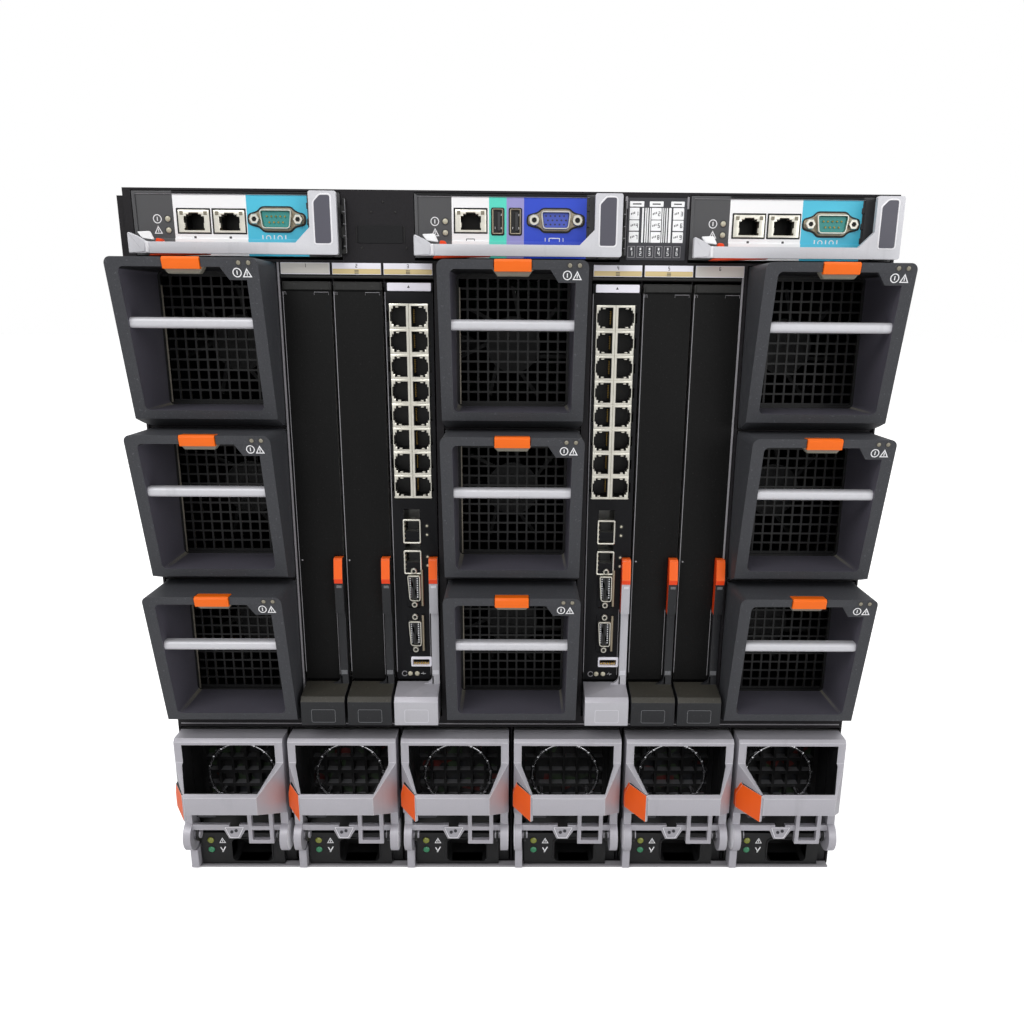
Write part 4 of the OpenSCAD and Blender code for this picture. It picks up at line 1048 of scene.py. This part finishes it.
def dSocket(x, z, width, height, slope, insert, rows, pinKey, span=12.5):
    # a D-shaped socket on its flange, with a hexagonal post at each side and rows of pins (dz, count)
    kit = Kit()
    w, h, end = width / 2, height / 2, span + 4.4
    flange = softCorners([(x - end, z + 3.0), (x - end, z - 3.0), (x - w - 0.6, z - 4.6),
                          (x - w + slope, z - h - 1.9), (x + w - slope, z - h - 1.9), (x + w + 0.6, z - 4.6),
                          (x + end, z - 3.0), (x + end, z + 3.0), (x + w + 1.4, z + 4.6),
                          (x + w - 0.6, z + h + 1.9), (x - w + 0.6, z + h + 1.9), (x - w - 1.4, z + 4.6)], 2.2, 3)
    # a thin dark plate round the flange's edge: painted shadow
    kit.add(plate(flange, [(0, 0.9), (0, 0.62)]), "jackPlastic")
    kit.add(plate(inward(flange, 0.9), [(0, 0.8), (0, 0.3), (0.25, 0.1)]), "flangeSteel")
    for side in (-1, 1):
        cx = x + side * span
        kit.add(lathe([(3.1, 0.4), (3.1, -1.6), (2.7, -2.1), (1.5, -2.1), (1.3, -1.7), (1.3, -0.4)], cx, z,
                      6 if insert == "insertTeal" else 20), "jackSteel")
        kit.add(lathe([(1.5, -0.2), (1.5, -0.7), (0.1, -0.7)], cx, z, 12), "jackPlastic")
    rim = softCorners([(x - w, z + h), (x - w + slope, z - h), (x + w - slope, z - h), (x + w, z + h)], 2.2,
                      4)
    kit.add(frameRing(rim, inward(rim, 0.9), [(0, 0.4), (0, -2.4), (0.3, -2.8), (0.8, -2.8), (1, -2.4),
                                              (1, -0.4)]), "jackSteel")
    kit.add(plate(inward(rim, 1.0), [(0, 0.2), (0, -0.9), (0.2, -1.1)]), insert)
    for dz, count, shift in rows:
        for k in range(count):
            px = x + shift + (k - (count - 1) / 2) * 2.6
            if pinKey == "gold":
                kit.add(lathe([(0.5, -0.9), (0.5, -2.0), (0.2, -2.3)], px, z + dz, 8), pinKey)
            else:
                kit.add(lathe([(0.62, -1.0), (0.62, -1.22), (0.1, -1.22)], px, z + dz, 4), pinKey)
    return kit


def mgmtTrim(style):
    # lamps and icons on the grey field, and the sockets on the coloured ones
    kit = Kit()
    lampX = 19.4 if style == "mgmt" else 17.6
    for z in (20.1, 13.9):
        kit.addKit(lamp(lampX, z, 1.55, "lensBeige", ring="faceDark"), (0, 0.8, 0))
    kit.addKit(ringIcon(lampX - 6.0, 20.0, 2.5, 0.5, 0.72))
    kit.addKit(warnIcon(lampX - 5.9, 14.0, 4.8, 0.5, 0.72))
    if style == "mgmt":
        kit.addKit(wallJack(34.4, 18.9)).addKit(wallJack(54.8, 18.9))
        kit.addKit(dSocket(82.2, 20.2, 19.0, 10.6, 1.4, "insertTeal", [(1.5, 5, 0), (-1.7, 4, 0)], "gold"))
        for k, x in enumerate((73.4, 76.7, 80.0, 83.3, 86.6)):
            if k % 2:
                kit.add(frameRing(disc(x, 10.2, 1.5, 18), disc(x, 10.2, 1.0, 18),
                                  [(0, 0.8), (0, 0.7), (1, 0.7), (1, 0.8)]), "inkWhite")
            else:
                kit.addKit(card(x - 0.35, 8.7, x + 0.35, 11.7, "inkWhite", 0.7, 0.1, 0.82))
        for x in (34.4, 54.8):
            for dx, dz in ((-1.8, 8.6), (1.8, 8.6), (0, 10.2)):
                kit.addKit(card(x + dx - 0.7, dz - 0.6, x + dx + 0.7, dz + 0.6, "faceGrey", 0.7, 0.15, 0.82))
    else:
        kit.addKit(wallJack(32.4, 20.4))
        kit.addKit(usbSocket(48.0, 20.2)).addKit(usbSocket(58.2, 20.2))
        kit.addKit(dSocket(81.6, 21.0, 17.6, 10.0, 1.2, "insertBlue",
                           [(2.3, 5, -0.5), (0, 5, 0.6), (-2.3, 5, -0.5)], "inkDark"))
        screen = roundedBox(77.6, 8.0, 84.2, 11.6, 0.6)
        kit.add(frameRing(screen, inward(screen, 0.5), [(0, 0.8), (0, 0.7), (1, 0.7), (1, 0.8)]), "inkWhite")
        for x in (75.6, 86.0):
            kit.addKit(card(x - 0.2, 8.0, x + 0.2, 11.6, "inkWhite", 0.7, 0.1, 0.82))
        box = roundedBox(29.6, 8.0, 34.6, 10.8, 0.3)
        kit.add(frameRing(box, inward(box, 0.35), [(0, 0.8), (0, 0.7), (1, 0.7), (1, 0.8)]), "faceDark")
    # punched edge of the case beside the sockets
    for z in (9.6, 17.4, 26.0):
        kit.add(block((99.4, 0.2, z), (102.4, 1.2, z + 3.4), 0.4), "faceDark")
    # a pale line along the field's top edge: painted highlight
    kit.add(block((1.6, 0.2, 33.3), (101.4, 0.75, 33.75), 0.15), "edgeLight")
    return kit


def grip():
    # the swinging handle's trims: a violet field on its plate, a flap at the bar's free end, and the latch
    out = -mgmtSize["out"]
    kit = Kit()
    field = softCorners([(106.4, 6.6), (114.6, 6.6), (115.4, 7.4), (115.4, 31.6), (114.8, 32.2),
                         (109.9, 32.2), (106.4, 28.6)], 0.8, 2)
    # the ring round the violet field, and the block at the flap's end below, are in the bright edge finish:
    # painted highlights
    kit.add(frameRing(inward(field, -0.9), field, [(0, out + 0.02), (0.3, out - 0.16), (0.8, out - 0.16),
                                                   (1, out + 0.05)]), "handleEdge")
    kit.add(plate(field, [(0, out + 0.3), (0, out - 0.03)]), "recessViolet")
    flap = softCorners([(0.4, 0.4), (9.6, 1.0), (10.4, 6.9), (6.6, 9.4), (1.2, 11.8), (0.4, 11.2)], 0.7, 2)
    kit.add(plate(flap, [(0.3, -9.2), (0, -9.5), (0, -12.4), (0.4, -12.9)]), "mgmtSilver")
    kit.add(block((10.0, -13.3, 0.7), (12.0, -9.6, 6.9), 0.5), "handleEdge")
    tab = softCorners([(7.6, 8.8), (14.4, 8.0), (12.2, 12.6), (5.0, 12.2)], 0.8, 2)
    kit.add(plate(tab, [(0.2, -8.6), (0, -8.8), (0, -9.8), (0.3, -10.1)]), "faceWhite")
    kit.add(plate(softCorners([(14.6, 6.9), (19.0, 6.9), (18.2, 8.6), (15.4, 9.0)], 0.5, 2),
                  [(0, -5.5), (0, -9.0), (0.3, -9.3)]), "leverOrange")
    kit.add(plate(softCorners([(11.0, -0.7), (44.0, 0.3), (44.0, 0.9), (24.0, 1.0), (12.0, 0.4)], 0.25, 2),
                  [(0, -4), (0, -11.0), (0.2, -11.2)]), "leverOrange")
    return kit


for style, node, handle in (("mgmt", "mgmt_module_left", "mgmt_handle_left"),
                            ("kvm", "kvm_module", "kvm_handle"),
                            ("mgmt", "mgmt_module_right", "mgmt_handle_right")):
    left = corners(node)[0][0]
    origin = np.array([left, rearY, mgmtSize["z"]])
    edges = [left + end for end, key in zones[style][:-1]]
    kit = dressedCopy(node, mgmtRule(style, left), bevel=0.3, where=lambda q: q[1] < rearY + 0.3, cuts=edges)
    kit.addKit(mgmtTrim(style), origin)
    kit.make(node + "_unit", node, replaces=[node], slot="mgmt_case")
    # the handle's bevelled edges get the bright edge finish: painted highlight
    kit = dressedCopy(handle, lambda c, n: np.full(len(c), "mgmtSilver", dtype=object), bevel=0.6,
                      edgeFinish="handleEdge")
    kit.addKit(grip(), origin)
    kit.make(handle + "_grip", handle, replaces=[handle], slot="mgmt_handle_paint")
print("management modules dressed")


# labels and small parts of the enclosure

def rivet(x, z, r=0.9, y=0.0, key="edgeLight"):
    return Kit().add(lathe([(r, y + 0.1), (r, y - 0.15), (r * 0.7, y - 0.4), (0.1, y - 0.5)], x, z, 12), key)


def slotStrip():
    # over each I/O bay a pale upper half with a plain number and a tan lower half
    kit = Kit()
    low, high = corners("slot_labels")
    for k in range(1, 7):
        node = f"io_{'switch' if k in (3, 4) else 'blank'}_{k}"
        a, b = corners(node)
        x0, x1, y = a[0] + 0.2, b[0] - 0.2, low[1]
        middle = (low[2] + high[2]) / 2
        tan = k in (2, 3, 4, 5)
        kit.addKit(card(x0, middle if tan else low[2] + 0.3, x1, high[2] - 0.3,
                        "labelWhite" if tan else "labelWarm", y - 0.12, 0.3, y + 0.2))
        if tan:
            kit.addKit(card(x0, low[2] + 0.3, x1, middle - 0.1, "labelTan", y - 0.12, 0.3, y + 0.2))
            for dz in (-0.8, 0.0, 0.8):
                kit.addKit(card((x0 + x1) / 2 - 1.2, middle - 1.7 + dz - 0.2, (x0 + x1) / 2 + 1.2,
                                middle - 1.7 + dz + 0.2, "faceGrey", y - 0.2, 0.1, y))
        kit.addKit(digit(k, (x0 + x1) / 2, middle + 1.6, 2.1, y - 0.2))
    return kit


labelSize = {"box": (65.9, 403.0, 100.4, 437.0), "heads": ((67.2, 75.4), (78.6, 86.5), (90.9, 98.7)),
             "rows": ((425.3, 431.6), (419.2, 424.9), (412.7, 418.6)),
             "columns": ((67.2, 72.8), (79.8, 85.6), (92.4, 98.6)),
             "lines": ((74.4, 75.4), (76.2, 76.9), (77.4, 78.1), (78.8, 79.4), (86.1, 86.7), (87.3, 87.8),
                       (88.5, 89.2), (89.9, 91.4)),
             "footCells": 6, "footStart": 66.7, "footPitch": 5.32, "clips": ((64.6, 66.0), (100.2, 101.4))}


def serviceLabel():
    # a dark plate with a grid of numbered pale cells, fine lines between its columns and a row of dark cells
    s = labelSize
    kit = Kit()
    y = rearY
    kit.add(plate(roundedBox(*s["box"], 0.8), [(0, y + 0.3), (0, y - 0.4), (0.2, y - 0.6)]), "plateDark")
    def cell(x0, z0, x1, z1, key, dy=0.75):
        kit.addKit(card(x0, z0, x1, z1, key, y - dy, 0.25, y - 0.5))
    for x0, x1 in s["heads"]:
        cell(x0, 432.2, x1, 435.1, "faceWhite")
        kit.addKit(card(x0 + 1.6, 433.3, x1 - 1.6, 434.0, "faceGrey", y - 0.82, 0.1, y - 0.7))
    for row, (z0, z1) in enumerate(s["rows"]):
        for column, (x0, x1) in enumerate(s["columns"]):
            cell(x0, z0, x1, z1, "faceWhite")
            kit.addKit(digit(row * 3 + column + 1, x1 - 1.3, (z0 + z1) / 2, 2.4, y - 0.84))
            for k in range(3):
                kit.addKit(card(x0 + 0.8 + k * 0.9, (z0 + z1) / 2 - 0.7 + k * 0.3, x0 + 1.3 + k * 0.9,
                                (z0 + z1) / 2 + 0.4 + k * 0.3, "faceGrey", y - 0.84, 0.1, y - 0.7))
    for x0, x1 in s["lines"]:
        cell(x0, 412.7, x1, 431.6, "faceWhite")
    for k in range(s["footCells"]):
        x0 = s["footStart"] + k * s["footPitch"]
        cell(x0, 404.4, x0 + 4.3, 410.8, "edgeLight", 0.7)
        cell(x0 + 0.3, 404.7, x0 + 4.0, 410.5, "plateDark", 0.8)
        kit.addKit(digit(k + 1, x0 + 2.15, 406.7, 2.4, y - 0.92, "inkWhite"))
        kit.addKit(card(x0 + 1.7, 408.5, x0 + 2.6, 409.9, "inkWhite", y - 0.92, 0.1, y - 0.7))
    for x0, x1 in s["clips"]:
        kit.add(plate(softCorners([(x0, 431), (x1, 431), (x1, 437.6), (x0, 437.6)], 0.4, 2),
                      [(0, y + 0.2), (0, y - 0.9), (0.2, y - 1.1)]), "edgeLight")
    return kit


def bracket(x0, x1):
    # a punched guide bracket beside a management handle
    kit = Kit()
    y = rearY
    middle = (x0 + x1) / 2
    outline = [(x0, 405.0), (x1, 405.0), (x1, 435.0), (middle, 435.0), (middle, 431.0), (x0, 431.0),
               (x0, 427.0), (middle, 426.0), (middle, 420.0),
               (x0, 419.0), (x0, 414.0), (middle, 413.0), (middle, 408.0), (x0, 407.0)]
    kit.add(plate(np.array(outline), [(0, y + 0.3), (0, y - 2.6), (0.2, y - 2.8)]), "blankBand")
    # pale lines on the bracket's edges: painted highlights
    for z in (409.0, 414.6, 421.0, 427.6):
        kit.add(block((middle - 0.15, y - 3.1, z), (x1 - 0.3, y - 2.7, z + 0.4), 0.1), "edgeLight")
    kit.add(block((x1 - 0.35, y - 3.1, 405.4), (x1 - 0.05, y - 2.7, 434.6), 0.1), "edgeLight")
    return kit


cageSize = {"sideEdges": ((-138.1, -136.9), (134.9, 136.1)), "headerLips": ((-136.3, -46.7), (46.7, 134.8)),
            "rivets": ((-82.0, 428.0), (-68.0, 428.0), (-88.0, 408.5), (-62.0, 408.5), (-75.0, 433.5)),
            "holder": (-90.0, 411.0, -64.0, 421.0), "brackets": ((-99.2, -96.2), (62.6, 65.2))}


def cageTrim():
    # painted highlights along the cut edges of the sheet at both ends of the I/O bays, the header's folded lip, a
    # painted highlight along the lip over the power supplies, rivets, and a bare label holder
    kit = Kit()
    y = rearY
    for x0, x1 in cageSize["sideEdges"]:
        kit.add(block((x0, y - 0.4, 113.2), (x1, y + 0.2, 400.2), 0.15), "edgeLight")
    for x0, x1 in cageSize["headerLips"]:
        kit.add(block((x0, y - 0.8, 391.7), (x1, y + 0.2, 393.2), 0.4), "blankBand")
    kit.add(block((-221.5, y - 0.35, 106.4), (221.5, y + 0.2, 107.2), 0.2), "edgeLight")
    kit.add(block((-222.4, y - 6.0, 0.15), (222.4, y + 0.5, 1.4), 0.3), "edgeLight")
    for x, z in cageSize["rivets"]:
        kit.addKit(rivet(x, z, 0.7, y, "blankBand"))
    holder = roundedBox(*cageSize["holder"], 0.8)
    kit.add(plate(holder, [(0, y + 0.2), (0, y - 0.25), (0.2, y - 0.4)]), "cagePaint")
    for x in (-91.0, -63.4):
        kit.add(block((x, y - 0.6, 411.5), (x + 0.5, y, 420.5), 0.15), "blankBand")
    return kit


def blankPanels(gap=2.3, wall=1.5, inset=56):
    # a pressed panel inside each of the sixteen blanking plates: 8 columns in 2 rows
    kit = Kit()
    low, high = corners("blade_blanks")
    y = frontY - inset
    pitchX, pitchZ = (high[0] - low[0] + gap) / 8, (high[2] - low[2] + gap) / 2
    halfX, halfZ = (pitchX - gap) / 2 - wall - 0.3, (pitchZ - gap) / 2 - wall - 0.3
    for k in range(16):
        x = low[0] - gap / 2 + (k % 8 + 0.5) * pitchX
        z = low[2] - gap / 2 + (k // 8 + 0.5) * pitchZ
        outline = roundedBox(x - halfX, z - halfZ, x + halfX, z + halfZ, 2)
        kit.add(plate(outline, [(0, y + 2), (0, y), (0.5, y - 0.5), (4, y - 0.5), (5, y + 0.5)]),
                "blankPlastic")
    return kit


blankPanels().make("blank_panels", "enclosure")
slotStrip().make("slot_number_strip", "enclosure", slot="label_plastic")
serviceLabel().make("service_label", "enclosure")
leftPlace, rightPlace = cageSize["brackets"]
bracket(*leftPlace).addKit(bracket(*rightPlace)).make("handle_brackets", "enclosure", slot="cage_paint")
cageTrim().make("cage_trim", "enclosure", slot="cage_paint")
print("labels and trims made")


# camera, light and stage

cameraSet = {"at": (0.00204, -0.94126, 0.37161), "lens": 32.10, "shift": (-0.01426, 0.0625),
             "down": 15.945, "roll": 0.46, "yaw": -0.743}
camera = bpy.data.objects.new("camera", bpy.data.cameras.new("camera"))
bpy.context.scene.collection.objects.link(camera)
camera.data.sensor_width, camera.data.lens, camera.data.clip_start = 36, cameraSet["lens"], 0.01
camera.data.shift_x, camera.data.shift_y = cameraSet["shift"]
camera.matrix_world = (Matrix.Translation(cameraSet["at"])
                       @ Matrix.Rotation(math.radians(cameraSet["yaw"]), 4, "Z")
                       @ Matrix.Rotation(math.radians(90 - cameraSet["down"]), 4, "X")
                       @ Matrix.Rotation(math.radians(cameraSet["roll"]), 4, "Z"))
bpy.context.scene.camera = camera


def softLight(name, at, towards, size, power):
    light = bpy.data.objects.new(name, bpy.data.lights.new(name, "AREA"))
    light.data.shape, light.data.energy = "RECTANGLE", power
    light.data.size, light.data.size_y = size
    light.location = at
    light.rotation_euler = (Vector(towards) - Vector(at)).to_track_quat("-Z", "Y").to_euler()
    bpy.context.scene.collection.objects.link(light)


softLight("keyLight", (-0.9, -2.3, 2.1), (0, -0.2, 0.2), (1.8, 1.2), 34)
softLight("fillLight", (1.6, -2.2, 0.9), (0, -0.2, 0.2), (1.4, 1.4), 15)
softLight("topLight", (0.0, 0.1, 2.4), (0, 0, 0.4), (2.2, 2.2), 18)

bpy.context.scene.view_settings.view_transform = "Standard"
world = bpy.data.worlds.new("studio")
bpy.context.scene.world = world
world.use_nodes = True
ambient = 0.32  # share of the white surroundings that lights matt surfaces
tree = world.node_tree
path = tree.nodes.new("ShaderNodeLightPath")
strength = Wire(tree, path.outputs["Is Camera Ray"]).join("MAXIMUM",
                                                          Wire(tree, path.outputs["Is Camera Ray"]),
                                                         Wire(tree, path.outputs["Is Glossy Ray"]))
strength = strength.join("MAXIMUM", strength, Wire(tree, path.outputs["Is Transmission Ray"]))
tree.links.new((strength * (1 - ambient) + ambient).socket, tree.nodes["Background"].inputs["Strength"])
tree.nodes["Background"].inputs["Color"].default_value = (1, 1, 1, 1)

floorFinish = Finish("floorPaper")
floorCloud = floorFinish.noise(400, 3)
floorFinish.set(colour=floorFinish.mix(floorCloud * 0.3, (0.93, 0.93, 0.93, 1), (0.90, 0.90, 0.90, 1)),
                rough=floorCloud * 0.1 + 0.6, glowPower=1.0,
                glow=floorFinish.mix(floorFinish.node("LightPath"), (0, 0, 0, 1), (0.7, 0.7, 0.7, 1)))
floorMesh = bpy.data.meshes.new("floor")
floorMesh.from_pydata([(-9, -6, 0), (9, -6, 0), (9, 14, 0), (-9, 14, 0)], [], [(0, 1, 2, 3)])
floor = bpy.data.objects.new("floor", floorMesh)
floorMesh.materials.append(floorFinish.material)
bpy.context.scene.collection.objects.link(floor)
print("camera, light and floor set")

for node in cadNodes:
    if not cadNodes[node].hide_render:
        slotKey = {"midplane": "boardGreen", "control_panel": "psuPlastic", "power_button": "jackSteel",
                   "blade_blanks": "blankPlastic", "slot_labels": "labelWhite"}.get(node, "chassisPaint")
        dressNode(node, slotKey)
